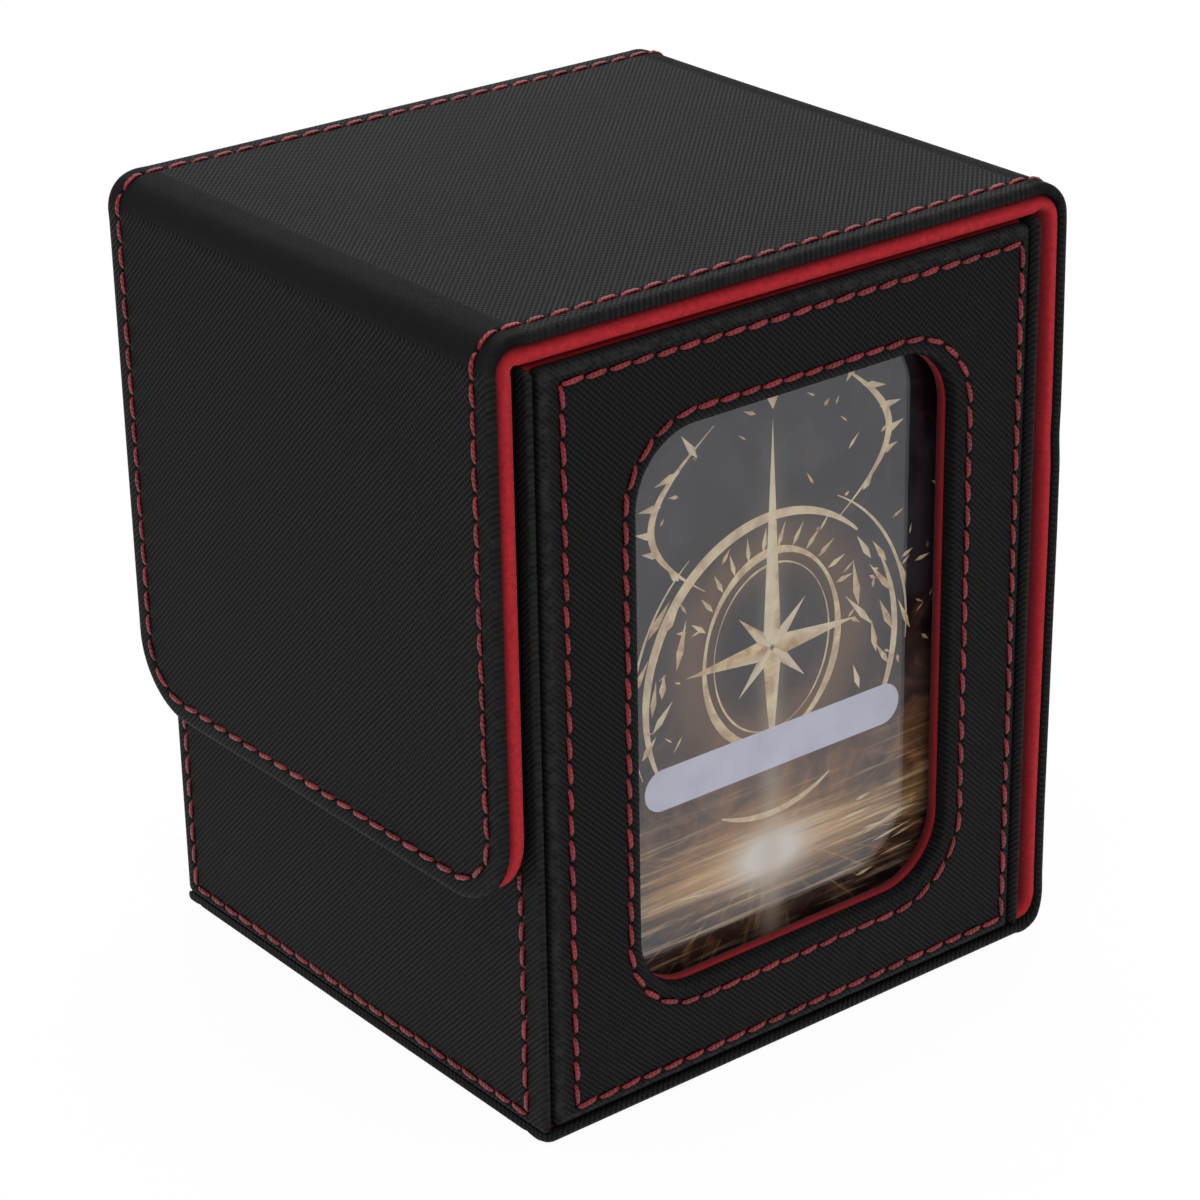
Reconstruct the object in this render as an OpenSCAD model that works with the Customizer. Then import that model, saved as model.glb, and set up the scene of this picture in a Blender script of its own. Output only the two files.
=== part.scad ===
// Trading card deck box with a card window, a sewn wrap-round lid and a magnetic closing flap.
// Units are millimetres. +Z is up. The window faces -Y, the closing flap is on -X,
// and the hinge side of the wrap is on +X. The origin is the centre of the footprint, on the floor.

/* [Box] */
// Outer width of the box without the wrap, along X
box_width = 78; // [74:0.5:84]
// Outer depth of the box without the wrap, along Y
box_depth = 78; // [60:0.5:100]
// Height of the top of the walls above the floor
wall_top = 98.4; // [94:0.2:104]
// Height of the underside of the box above the floor (thickness of the wrap below it)
box_bottom = 1.25; // [0.8:0.05:2]
// Thickness of the outer shell walls: cover and board together
shell_t = 1.35; // [1:0.05:2]
// Thickness of the red liner boards
liner_t = 2.15; // [1.5:0.05:3]
// Thickness of the black cover material on the box
box_skin = 0.45; // [0.3:0.05:0.8]
// Thickness of the microfibre on the liners
liner_skin = 0.4; // [0.3:0.05:0.8]
// Thickness of the base board
base_board_t = 2.1; // [1.5:0.1:3]
// Thickness of the pad on the floor of the box
base_liner_t = 0.8; // [0.4:0.1:2]

/* [Window] */
// Width of the window panel
panel_width = 75; // [70:0.5:78]
// Thickness of the window panel
panel_t = 2.2; // [1.6:0.1:3]
// Thickness of the front liner behind the window panel
front_liner_t = 2.3; // [1.5:0.1:3]
// Left edge of the window
window_left = -23.5; // [-28:0.1:-18]
// Right edge of the window
window_right = 25.6; // [18:0.1:28]
// Lower edge of the window
window_low = 13.3; // [8:0.1:20]
// Upper edge of the window
window_high = 85.8; // [78:0.1:92]
// Corner radius of the window
window_r = 8.7; // [3:0.1:14]
// Thickness of the clear window sheet
film_t = 0.3; // [0.2:0.05:0.6]

/* [Display card] */
// Card width
card_width = 63; // [57:0.5:66]
// Card height
card_height = 88; // [80:0.5:91]
// Card corner radius
card_r = 3; // [2:0.5:4]
// Thickness of the card in its sleeve
card_t = 0.84; // [0.3:0.02:1]
// Depth of the pocket for the card
pocket_t = 1.0; // [0.8:0.1:3]
// Height of the top of the board behind the card, low enough to leave the card's top edge free
pocket_board_top = 84; // [60:1:92]

/* [Wrap] */
// Half of the overall width across the flap and the hinge side
wrap_half = 43.5; // [42:0.1:46]
// Overall height
wrap_top = 102.2; // [98:0.1:108]
// Near edge of the wrap
wrap_near = -38.2; // [-39:0.1:-36]
// Far edge of the wrap
wrap_far = 39.0; // [36:0.1:39]
// Thickness of the black outer layer with its turned edge
cover_t = 1.15; // [0.8:0.05:1.6]
// Thickness of the padded red lining layer
lining_t = 2.5; // [1.5:0.1:3]
// Outer radius of the two upper folds
fold_r = 4.5; // [3:0.1:7]
// Outer radius of the fold under the box
base_fold_r = 5.0; // [3:0.1:7]
// Lower edge of the closing flap
flap_low = 31.4; // [20:0.2:60]
// Radius of the lower corners of the flap
flap_r = 9.8; // [3:0.2:20]
// Lower end of the fold across the hinge side
waist_low = 66.6; // [50:0.2:80]
// Upper end of the fold across the hinge side
waist_high = 70.0; // [52:0.2:84]

/* [Stitching and closure] */
// Distance from stitch to stitch
stitch_pitch = 3.3; // [2.5:0.1:5]
// Length of one stitch
stitch_len = 2.5; // [1.5:0.1:4]
// Width of one stitch
stitch_w = 0.65; // [0.3:0.05:1]
// Height of the thread above the cover
stitch_h = 0.25; // [0.1:0.05:0.5]
// Distance of the wrap stitching from the edge
wrap_inset = 2.7; // [1.5:0.1:5]
// Diameter of the closing magnets
magnet_d = 10; // [6:0.5:14]
// Thickness of the closing magnets
magnet_t = 1.8; // [1:0.1:2]
// Distance of each magnet from the middle of the flap
magnet_y = 18; // [8:0.5:28]
// Height of the magnets above the floor
magnet_z = 44; // [38:0.5:60]

/* [Hidden] */
$fn = 64;
hw = box_width / 2;
hd = box_depth / 2;
sx = hw - shell_t;              // inner face of the side shells
sy = hd - shell_t;              // inner face of the rear shell
lx = sx - liner_t;              // inner face of the side liners
ly = sy - liner_t;              // inner face of the rear liner
pb = -hd + panel_t;             // back of the window panel
fb = pb + front_liner_t;        // back of the front liner
liner_low = box_bottom + box_skin + base_board_t;
liner_top = wall_top - 0.4;
floor_z = liner_low + base_liner_t;
film_back = fb + film_t;
pocket_back = film_back + pocket_t;
pocket_top = liner_top - 2;
card_x = (window_left + window_right) / 2;
wrap_t = cover_t + lining_t;
skin = 0.5;                     // thickness of the wrap's outer and inner faces
rim_c = 0.8;                    // width of the cover's turned edge
rim_l = 0.5;                    // width of the lining's turned edge
step = rim_c - rim_l;           // the lining's edge stands back from the cover's
fold_end = wrap_top - fold_r;   // where the side panels end and the folds start
fold_x = wrap_half - fold_r;
base_cover_t = 0.9;
base_lining_t = box_bottom - base_cover_t;
black = [0.10, 0.10, 0.105];
red = [0.68, 0.13, 0.16];
board_grey = [0.62, 0.60, 0.56];
thread = [0.62, 0.16, 0.20];

// ---- helpers ----

// rectangle with four round corners, drawn from exact arcs
module round_rect(x0, y0, x1, y1, r) {
    if (r <= 0.01) translate([x0, y0]) square([x1 - x0, y1 - y0]);
    else union() {
        translate([x0 + r, y0]) square([x1 - x0 - 2 * r, y1 - y0]);
        translate([x0, y0 + r]) square([x1 - x0, y1 - y0 - 2 * r]);
        for (x = [x0 + r, x1 - r], y = [y0 + r, y1 - r]) translate([x, y]) circle(r);
    }
}

// rectangle with only its two lower corners round
module tab_rect(x0, y0, x1, y1, r) {
    union() {
        translate([x0 + r, y0]) square([x1 - x0 - 2 * r, y1 - y0]);
        translate([x0, y0 + r]) square([x1 - x0, y1 - y0 - r]);
        for (x = [x0 + r, x1 - r]) translate([x, y0 + r]) circle(r);
    }
}

// outline in (y, z), solid from x0 to x1
module along_x(x0, x1) { translate([x0, 0, 0]) rotate([90, 0, 90]) linear_extrude(x1 - x0) children(); }
// outline in (x, z), solid from y0 to y1
module along_y(y0, y1) { translate([0, y1, 0]) rotate([90, 0, 0]) linear_extrude(y1 - y0) children(); }
// outline in (x, y), solid from z0 to z1
module along_z(z0, z1) { translate([0, 0, z0]) linear_extrude(z1 - z0) children(); }

// a straight run of stitches
module run(a, b) {
    n = max(1, round(norm(b - a) / stitch_pitch));
    for (i = [0 : n - 1]) translate(a + (b - a) * (i + 0.5) / n)
        rotate(atan2(b[1] - a[1], b[0] - a[0])) square([stitch_len, stitch_w], center = true);
}
// stitches round a corner
module turn(c, r, a0, a1) {
    n = max(1, round(abs(a1 - a0) * PI / 180 * r / stitch_pitch));
    for (i = [0 : n - 1]) let (a = a0 + (a1 - a0) * (i + 0.5) / n)
        translate(c + r * [cos(a), sin(a)]) rotate(a + 90) square([stitch_len * 0.92, stitch_w], center = true);
}
// stitches round a rectangle
module run_rect(x0, y0, x1, y1, r) {
    run([x0 + r, y0], [x1 - r, y0]);
    run([x0 + r, y1], [x1 - r, y1]);
    run([x0, y0 + r], [x0, y1 - r]);
    run([x1, y0 + r], [x1, y1 - r]);
    if (r > 1.5) {
        turn([x0 + r, y0 + r], r, 180, 270);
        turn([x1 - r, y0 + r], r, 270, 360);
        turn([x1 - r, y1 - r], r, 0, 90);
        turn([x0 + r, y1 - r], r, 90, 180);
    }
}

// ---- left and right walls ----

module shell_outline(inset) {
    round_rect(-hd + inset, box_bottom + inset, hd - inset, wall_top - inset, 0.9 - inset);
}
module left_wall_cover() {
    color(black) difference() {
        along_x(-hw, -sx) shell_outline(0);
        along_x(-hw + box_skin, -sx + 1) shell_outline(box_skin);
    }
}
module left_wall_board() { color(board_grey) along_x(-hw + box_skin, -sx) shell_outline(box_skin); }
module left_wall_stitching() {
    color(thread) along_x(-hw - stitch_h, -hw)
        run_rect(-hd + 3.7, box_bottom + 1.35, hd - 2.1, wall_top - 2.8, 0);
}
module right_wall_cover() { mirror([1, 0, 0]) left_wall_cover(); }
module right_wall_board() { mirror([1, 0, 0]) left_wall_board(); }

module side_liner_outline(inset) {
    translate([fb + inset, liner_low + inset])
        square([sy - fb - 2 * inset, liner_top - liner_low - 2 * inset]);
}
module side_liner() {
    color(red) difference() {
        along_x(lx, sx) side_liner_outline(0);
        along_x(lx + liner_skin, sx + 1) side_liner_outline(liner_skin);
    }
}
module side_liner_board() { color(board_grey) along_x(lx + liner_skin, sx) side_liner_outline(liner_skin); }
module left_liner() { mirror([1, 0, 0]) side_liner(); }
module left_liner_board() {
    color(board_grey) difference() {
        mirror([1, 0, 0]) side_liner_board();
        for (s = [-1, 1]) translate([-sx - 1, s * magnet_y + 0.4, magnet_z])
            rotate([0, 90, 0]) cylinder(d = 12.1, h = 1.9);
    }
}
module strike_discs() {
    color([0.55, 0.55, 0.57]) for (s = [-1, 1]) translate([-sx, s * magnet_y + 0.4, magnet_z])
        rotate([0, 90, 0]) cylinder(d = 12, h = 0.85);
}
module right_liner() { side_liner(); }
module right_liner_board() { side_liner_board(); }

// ---- rear wall ----

module rear_outline(inset) {
    translate([-sx + inset, box_bottom + inset])
        square([2 * sx - 2 * inset, wall_top - box_bottom - 2 * inset]);
}
module rear_wall_cover() {
    color(black) difference() {
        along_y(sy, hd) rear_outline(0);
        along_y(sy - 1, hd - box_skin) rear_outline(box_skin);
    }
}
module rear_wall_board() { color(board_grey) along_y(sy, hd - box_skin) rear_outline(box_skin); }
module rear_wall_stitching() {
    color(thread) along_y(hd, hd + stitch_h) run_rect(-34.2, 3.4, 34.2, wall_top - 2.7, 0);
}
module rear_liner_outline(inset) {
    translate([-lx + inset, liner_low + inset])
        square([2 * lx - 2 * inset, liner_top - liner_low - 2 * inset]);
}
module rear_liner() {
    color(red) difference() {
        along_y(ly, sy) rear_liner_outline(0);
        along_y(ly + liner_skin, sy + 1) rear_liner_outline(liner_skin);
    }
}
module rear_liner_board() { color(board_grey) along_y(ly + liner_skin, sy) rear_liner_outline(liner_skin); }

// ---- base ----

module base_outline() { translate([-sx, pb]) square([2 * sx, sy - pb]); }
module base_cover() { color(black) along_z(box_bottom, box_bottom + box_skin) base_outline(); }
module base_board() { color(board_grey) along_z(box_bottom + box_skin, liner_low) base_outline(); }
module base_liner() { color(red) along_z(liner_low, floor_z) translate([-lx, fb]) square([2 * lx, ly - fb]); }

// ---- window wall ----

module panel_outline(inset) {
    round_rect(-panel_width / 2 + inset, box_bottom + 0.15 + inset,
        panel_width / 2 - inset, wall_top - 0.2 - inset, 0.9 - inset);
}
module window_outline(grow) {
    round_rect(window_left - grow, window_low - grow, window_right + grow, window_high + grow,
        window_r + grow);
}
module window_panel_cover() {
    color(black) difference() {
        along_y(-hd, pb) difference() { panel_outline(0); window_outline(0); }
        along_y(-hd + skin, pb + 1) difference() { panel_outline(skin); window_outline(skin); }
    }
}
module window_panel_board() {
    color(board_grey) along_y(-hd + skin, pb) difference() { panel_outline(skin); window_outline(skin); }
}
module window_panel_stitching() {
    color(thread) along_y(-hd - stitch_h, -hd) run_rect(-34.2, 3.4, 35.75, wall_top - 2.7, 0);
}
module window_edge_stitching() {
    color(thread) along_y(-hd - stitch_h, -hd)
        run_rect(window_left - 2.1, window_low - 2.1, window_right + 2.1, window_high + 2.1,
            window_r + 2.1);
}
module front_liner_outline(inset) {
    difference() {
        translate([-sx + inset, liner_low + inset])
            square([2 * sx - 2 * inset, liner_top - liner_low - 2 * inset]);
        window_outline(inset);
    }
}
module front_liner() {
    color(red) difference() {
        along_y(pb, fb) front_liner_outline(0);
        along_y(pb - 1, fb - liner_skin) front_liner_outline(liner_skin);
    }
}
module front_liner_board() { color(board_grey) along_y(pb, fb - liner_skin) front_liner_outline(liner_skin); }
module window_film() {
    color([0.85, 0.9, 0.95, 0.35]) along_y(fb, film_back)
        translate([-lx + 1.5, floor_z]) square([2 * lx - 3, pocket_top - floor_z]);
}

// ---- display card and its pocket ----

module display_card() {
    color([0.30, 0.27, 0.24]) along_y(film_back + (pocket_t - card_t) / 2, film_back + (pocket_t + card_t) / 2)
        round_rect(card_x - card_width / 2, floor_z + 0.02, card_x + card_width / 2,
            floor_z + 0.02 + card_height, card_r);
}
module pocket_sides() {
    color(red) along_y(film_back, pocket_back) {
        translate([-lx + 0.1, floor_z]) square([card_x - card_width / 2 - 0.6 + lx - 0.1, pocket_top - floor_z]);
        translate([card_x + card_width / 2 + 0.6, floor_z])
            square([lx - 0.1 - card_x - card_width / 2 - 0.6, pocket_top - floor_z]);
    }
}
module pocket_outline() {
    translate([-lx + 0.1, floor_z]) square([2 * lx - 0.2, pocket_board_top - floor_z]);
}
module pocket_board() { color(board_grey) along_y(pocket_back, pocket_back + 1) pocket_outline(); }
module pocket_lining() { color(red) along_y(pocket_back + 1, pocket_back + 1.4) pocket_outline(); }

// ---- wrap: fixed leg on the hinge side and its run under the box ----

module strip(z0, z1, inset) {
    translate([wrap_near + inset, z0]) square([wrap_far - wrap_near - 2 * inset, z1 - z0]);
}
module hinge_leg_cover() {
    color(black) difference() {
        along_x(wrap_half - cover_t, wrap_half) strip(base_fold_r, waist_low, 0);
        along_x(wrap_half - cover_t - 1, wrap_half - skin) strip(base_fold_r + skin, waist_low - skin, rim_c);
    }
}
module hinge_leg_lining() {
    color(red) difference() {
        along_x(hw, wrap_half - cover_t) strip(base_fold_r, waist_low, step);
        along_x(hw + skin, wrap_half) strip(base_fold_r + skin, waist_low - skin, rim_c);
    }
}
module hinge_leg_board() {
    color(board_grey) along_x(hw + skin, wrap_half - skin) strip(base_fold_r + skin, waist_low - skin, rim_c);
}
module hinge_leg_stitching() {
    color(thread) along_x(wrap_half, wrap_half + stitch_h) for (y = [wrap_near + wrap_inset, wrap_far - wrap_inset])
        run([y, base_fold_r], [y, waist_low]);
}
// the inner face of the lowest fold eases from the leg's thickness to the base's
base_in_r = (wrap_half - cover_t - (wrap_half - base_fold_r) + base_fold_r - base_cover_t) / 2;
module base_bend_outline() {
    intersection() {
        difference() {
            translate([wrap_half - base_fold_r, base_fold_r]) circle(base_fold_r);
            translate([wrap_half - cover_t - base_in_r, base_cover_t + base_in_r]) circle(base_in_r);
            translate([wrap_half - 2 * base_fold_r, base_cover_t + base_in_r])
                square([2 * base_fold_r - cover_t, base_fold_r]);
        }
        translate([wrap_half - base_fold_r, 0]) square([base_fold_r, base_fold_r]);
    }
}
module base_bend_cover() { color(black) along_y(wrap_near, wrap_far) base_bend_outline(); }
module base_wrap_cover() {
    color(black) along_z(0, base_cover_t) translate([-hw, wrap_near])
        square([hw + wrap_half - base_fold_r, wrap_far - wrap_near]);
}
module base_wrap_lining() {
    color(red) {
        along_z(base_cover_t, box_bottom) translate([-hw + 1, wrap_near + 2])
            square([hw - 1 + wrap_half - base_fold_r, wrap_far - wrap_near - 4]);
        along_y(wrap_near + step, wrap_far - step) intersection() {
            difference() {
                union() {
                    translate([wrap_half - cover_t - base_in_r, base_cover_t + base_in_r]) circle(base_in_r);
                    translate([wrap_half - base_fold_r, base_cover_t + base_in_r])
                        square([base_fold_r - cover_t, base_fold_r]);
                }
                translate([0, box_bottom]) square([hw, 20]);
            }
            translate([wrap_half - base_fold_r, 0]) square([base_fold_r, base_fold_r]);
        }
    }
}

// ---- wrap: free panel on the hinge side ----

module hinge_panel_cover() {
    color(black) difference() {
        along_x(wrap_half - cover_t, wrap_half) strip(waist_high, fold_end, 0);
        along_x(wrap_half - cover_t - 1, wrap_half - skin) strip(waist_high + skin, fold_end - skin, rim_c);
    }
}
module hinge_panel_lining() {
    color(red) difference() {
        along_x(wrap_half - wrap_t, wrap_half - cover_t) strip(waist_high, fold_end, step);
        along_x(wrap_half - wrap_t + skin, wrap_half) strip(waist_high + skin, fold_end - skin, rim_c);
    }
}
module hinge_panel_board() {
    color(board_grey) along_x(wrap_half - wrap_t + skin, wrap_half - skin)
        strip(waist_high + skin, fold_end - skin, rim_c);
}
module hinge_panel_stitching() {
    color(thread) along_x(wrap_half, wrap_half + stitch_h) for (y = [wrap_near + wrap_inset, wrap_far - wrap_inset])
        run([y, waist_high], [y, fold_end]);
}
module rear_fold_cover() {
    color(black) along_x(wrap_half - cover_t, wrap_half) strip(waist_low, waist_high, 0);
}
module rear_fold_lining() {
    color(red) along_x(wrap_half - wrap_t, wrap_half - cover_t) strip(waist_low, waist_high, step);
}

// ---- wrap: lid ----

module lid_rect(end_inset, side_inset) {
    translate([-fold_x + end_inset, wrap_near + side_inset])
        square([2 * fold_x - 2 * end_inset, wrap_far - wrap_near - 2 * side_inset]);
}
module lid_cover() {
    color(black) difference() {
        along_z(wrap_top - cover_t, wrap_top) lid_rect(0, 0);
        along_z(wrap_top - cover_t - 1, wrap_top - skin) lid_rect(skin, rim_c);
    }
}
module lid_lining() {
    color(red) difference() {
        along_z(wrap_top - wrap_t, wrap_top - cover_t) lid_rect(0, step);
        along_z(wrap_top - wrap_t + skin, wrap_top) lid_rect(skin, rim_c);
    }
}
module lid_board() { color(board_grey) along_z(wrap_top - wrap_t + skin, wrap_top - skin) lid_rect(skin, rim_c); }
module lid_stitching() {
    color(thread) along_z(wrap_top, wrap_top + stitch_h) for (y = [wrap_near + wrap_inset, wrap_far - wrap_inset])
        run([-fold_x, y], [fold_x, y]);
}
// a quarter ring between the lid and a side panel
module fold_ring(r0, r1, inset) {
    translate([fold_x, wrap_far - inset, fold_end]) rotate([90, 0, 0])
        rotate_extrude(angle = 90) translate([r0, 0]) square([r1 - r0, wrap_far - wrap_near - 2 * inset]);
}
module lid_fold_cover() { color(black) fold_ring(fold_r - cover_t, fold_r, 0); }
module lid_fold_lining() { color(red) fold_ring(fold_r - wrap_t, fold_r - cover_t, step); }

// ---- wrap: closing flap ----

module flap_outline(inset, top) {
    tab_rect(wrap_near + inset, flap_low + inset, wrap_far - inset, top, flap_r - inset);
}
module flap_cover() {
    color(black) difference() {
        along_x(-wrap_half, -wrap_half + cover_t) flap_outline(0, fold_end);
        along_x(-wrap_half + skin, -wrap_half + cover_t + 1) flap_outline(rim_c, fold_end - skin);
    }
}
module flap_lining() {
    color(red) difference() {
        along_x(-wrap_half + cover_t, -wrap_half + wrap_t) flap_outline(step, fold_end);
        along_x(-wrap_half, -wrap_half + wrap_t - skin) flap_outline(rim_c, fold_end - skin);
    }
}
module flap_board() {
    color(board_grey) difference() {
        along_x(-wrap_half + skin, -wrap_half + wrap_t - skin) flap_outline(rim_c, fold_end - skin);
        for (s = [-1, 1]) translate([-wrap_half + wrap_t - skin - magnet_t - 0.1, s * magnet_y + 0.4, magnet_z])
            rotate([0, 90, 0]) cylinder(d = magnet_d + 0.1, h = magnet_t + 1);
    }
}
module flap_magnets() {
    color([0.7, 0.7, 0.72]) for (s = [-1, 1])
        translate([-wrap_half + wrap_t - skin - magnet_t - 0.05, s * magnet_y + 0.4, magnet_z])
            rotate([0, 90, 0]) cylinder(d = magnet_d, h = magnet_t);
}
module flap_stitching() {
    y0 = wrap_near + wrap_inset;
    y1 = wrap_far - wrap_inset;
    z0 = flap_low + wrap_inset;
    r = flap_r - wrap_inset;
    color(thread) along_x(-wrap_half - stitch_h, -wrap_half) {
        run([y0, z0 + r], [y0, fold_end]);
        run([y1, z0 + r], [y1, fold_end]);
        run([y0 + r, z0], [y1 - r, z0]);
        turn([y0 + r, z0 + r], r, 180, 270);
        turn([y1 - r, z0 + r], r, 270, 360);
    }
}
module flap_fold_cover() { mirror([1, 0, 0]) lid_fold_cover(); }
module flap_fold_lining() { mirror([1, 0, 0]) lid_fold_lining(); }

// ---- the nodes ----

left_wall_cover();
left_wall_board();
left_wall_stitching();
left_liner();
left_liner_board();
strike_discs();
right_wall_cover();
right_wall_board();
right_liner();
right_liner_board();
rear_wall_cover();
rear_wall_board();
rear_wall_stitching();
rear_liner();
rear_liner_board();
base_cover();
base_board();
base_liner();
window_panel_cover();
window_panel_board();
window_panel_stitching();
window_edge_stitching();
front_liner();
front_liner_board();
window_film();
display_card();
pocket_sides();
pocket_board();
pocket_lining();
hinge_leg_cover();
hinge_leg_board();
hinge_leg_lining();
hinge_leg_stitching();
base_bend_cover();
base_wrap_cover();
base_wrap_lining();
hinge_panel_cover();
hinge_panel_board();
hinge_panel_lining();
hinge_panel_stitching();
rear_fold_cover();
rear_fold_lining();
lid_cover();
lid_board();
lid_lining();
lid_stitching();
lid_fold_cover();
lid_fold_lining();
flap_cover();
flap_board();
flap_lining();
flap_stitching();
flap_magnets();
flap_fold_cover();
flap_fold_lining();
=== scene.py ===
"""Card deck box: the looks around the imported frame. Shapes are laid out in millimetres, in the row frame, and
scaled to metres when a mesh is made."""

import math

import bmesh
import bpy
import numpy as np
from mathutils import Matrix, Vector
from mathutils.geometry import delaunay_2d_cdt


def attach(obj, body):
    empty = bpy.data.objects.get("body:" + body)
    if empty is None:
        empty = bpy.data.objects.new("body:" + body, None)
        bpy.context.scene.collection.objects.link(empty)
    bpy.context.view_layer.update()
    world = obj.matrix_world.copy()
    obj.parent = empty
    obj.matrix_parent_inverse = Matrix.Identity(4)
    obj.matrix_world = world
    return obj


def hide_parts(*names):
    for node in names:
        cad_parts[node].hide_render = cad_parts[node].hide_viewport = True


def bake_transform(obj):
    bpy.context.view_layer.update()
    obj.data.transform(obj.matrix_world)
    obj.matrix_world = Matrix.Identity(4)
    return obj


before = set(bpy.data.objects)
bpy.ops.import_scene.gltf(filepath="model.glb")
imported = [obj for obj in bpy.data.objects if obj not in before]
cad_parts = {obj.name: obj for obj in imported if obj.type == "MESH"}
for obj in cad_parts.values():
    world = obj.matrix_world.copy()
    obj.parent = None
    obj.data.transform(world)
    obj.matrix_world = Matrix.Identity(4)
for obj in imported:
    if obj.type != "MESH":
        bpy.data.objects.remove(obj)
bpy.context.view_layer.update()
MM = 0.001

# ---------------------------------------------------------------- camera and studio

CAMERA_AT = (-259.27, -331.41, 240.01)
AZIMUTH, ELEVATION, ROLL = -38.011, 24.315, -1.096
LENS, SHIFT_X, SHIFT_Y = 109.32, 0.0081, -0.0236


def make_camera():
    a, e, r = (math.radians(x) for x in (AZIMUTH, ELEVATION, ROLL))
    back = Vector((math.sin(a) * math.cos(e), -math.cos(a) * math.cos(e), math.sin(e)))
    right = (-back).cross(Vector((0, 0, 1))).normalized()
    up = back.cross(right)
    x = math.cos(r) * right + math.sin(r) * up
    y = -math.sin(r) * right + math.cos(r) * up
    data = bpy.data.cameras.new("camera")
    data.lens, data.sensor_width, data.sensor_fit = LENS, 36.0, "HORIZONTAL"
    data.shift_x, data.shift_y = SHIFT_X, SHIFT_Y
    data.clip_start, data.clip_end = 0.01, 20.0
    data.dof.use_dof = False
    cam = bpy.data.objects.new("camera", data)
    bpy.context.scene.collection.objects.link(cam)
    m = Matrix((x, y, back)).transposed().to_4x4()
    m.translation = Vector(CAMERA_AT) * MM
    cam.matrix_world = m
    bpy.context.scene.camera = cam


def area_light(name, at, aim, size, power, colour=(1, 1, 1)):
    data = bpy.data.lights.new(name, "AREA")
    data.shape, data.size, data.size_y = "RECTANGLE", size[0], size[1]
    data.energy, data.color = power, colour
    ob = bpy.data.objects.new(name, data)
    bpy.context.scene.collection.objects.link(ob)
    ob.location = at
    ob.rotation_euler = (Vector(aim) - Vector(at)).to_track_quat("-Z", "Y").to_euler()


# ---------------------------------------------------------------- node helper


class Nodes:
    """A new material with short calls for its nodes. Inputs are numbers, tuples or sockets."""

    def __init__(self, name, colour=(0.5, 0.5, 0.5)):
        self.mat = bpy.data.materials.new(name)
        self.mat.use_nodes = True
        self.mat.diffuse_color = (*colour, 1)
        self.tree = self.mat.node_tree
        self.tree.nodes.clear()
        self.out = self.tree.nodes.new("ShaderNodeOutputMaterial")

    def put(self, socket, value):
        if isinstance(value, bpy.types.NodeSocket):
            self.tree.links.new(value, socket)
        elif value is not None:
            socket.default_value = value

    def node(self, kind, values=None, **props):
        n = self.tree.nodes.new("ShaderNode" + kind)
        for k, v in props.items():
            setattr(n, k, v)
        for k, v in (values or {}).items():
            self.put(n.inputs[k], v)
        return n

    def maths(self, op, a, b=None):
        n = self.node("Math", operation=op)
        for i, v in enumerate((a, b)):
            self.put(n.inputs[i], v)
        return n.outputs[0]

    def add(self, a, b):
        return self.maths("ADD", a, b)

    def sub(self, a, b):
        return self.maths("SUBTRACT", a, b)

    def mul(self, a, b):
        return self.maths("MULTIPLY", a, b)

    def sin(self, a):
        return self.maths("SINE", a)

    def bell(self, a, middle, width):
        """exp(-((a - middle) / width)^2)"""
        t = self.mul(self.sub(a, middle), 1.0 / width)
        return self.maths("POWER", math.e, self.mul(self.mul(t, t), -1.0))

    def attribute(self, name, output="Vector"):
        return self.node("Attribute", attribute_name=name).outputs[output]

    def place(self):
        return self.node("TexCoord").outputs["Object"]

    def split(self, vector):
        return tuple(self.node("SeparateXYZ", {0: vector}).outputs)

    def join(self, x, y, z):
        return self.node("CombineXYZ", {0: x, 1: y, 2: z}).outputs[0]

    def noise(self, vector, scale, detail=3.0, rough=0.55, distort=0.0):
        return self.node(
            "TexNoise",
            {"Vector": vector, "Scale": scale, "Detail": detail, "Roughness": rough, "Distortion": distort},
        ).outputs[0]

    def span(self, value, a, b, c, d, smooth=False):
        n = self.node(
            "MapRange",
            {"Value": value, "From Min": a, "From Max": b, "To Min": c, "To Max": d},
            interpolation_type="SMOOTHSTEP" if smooth else "LINEAR",
        )
        return n.outputs[0]

    def mix(self, t, a, b):
        n = self.node("Mix", data_type="RGBA")
        self.put(n.inputs[0], t)
        for i, v in ((6, a), (7, b)):
            self.put(n.inputs[i], (*v, 1) if isinstance(v, tuple) else v)
        return n.outputs[2]

    def bump(self, height, distance, strength=1.0):
        return self.node("Bump", {"Height": height, "Distance": distance, "Strength": strength}).outputs[0]

    def shader(self, **values):
        """A Principled node. Underscores in names stand for spaces."""
        n = self.node("BsdfPrincipled")
        for k, v in values.items():
            self.put(n.inputs[k.replace("_", " ")], (*v, 1) if isinstance(v, tuple) and len(v) == 3 else v)
        return n.outputs[0]

    def finish(self, shader=None, **values):
        """Wires up a shader, or a Principled node made from values."""
        self.tree.links.new(shader or self.shader(**values), self.out.inputs[0])
        return self.mat


# ---------------------------------------------------------------- materials


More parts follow.
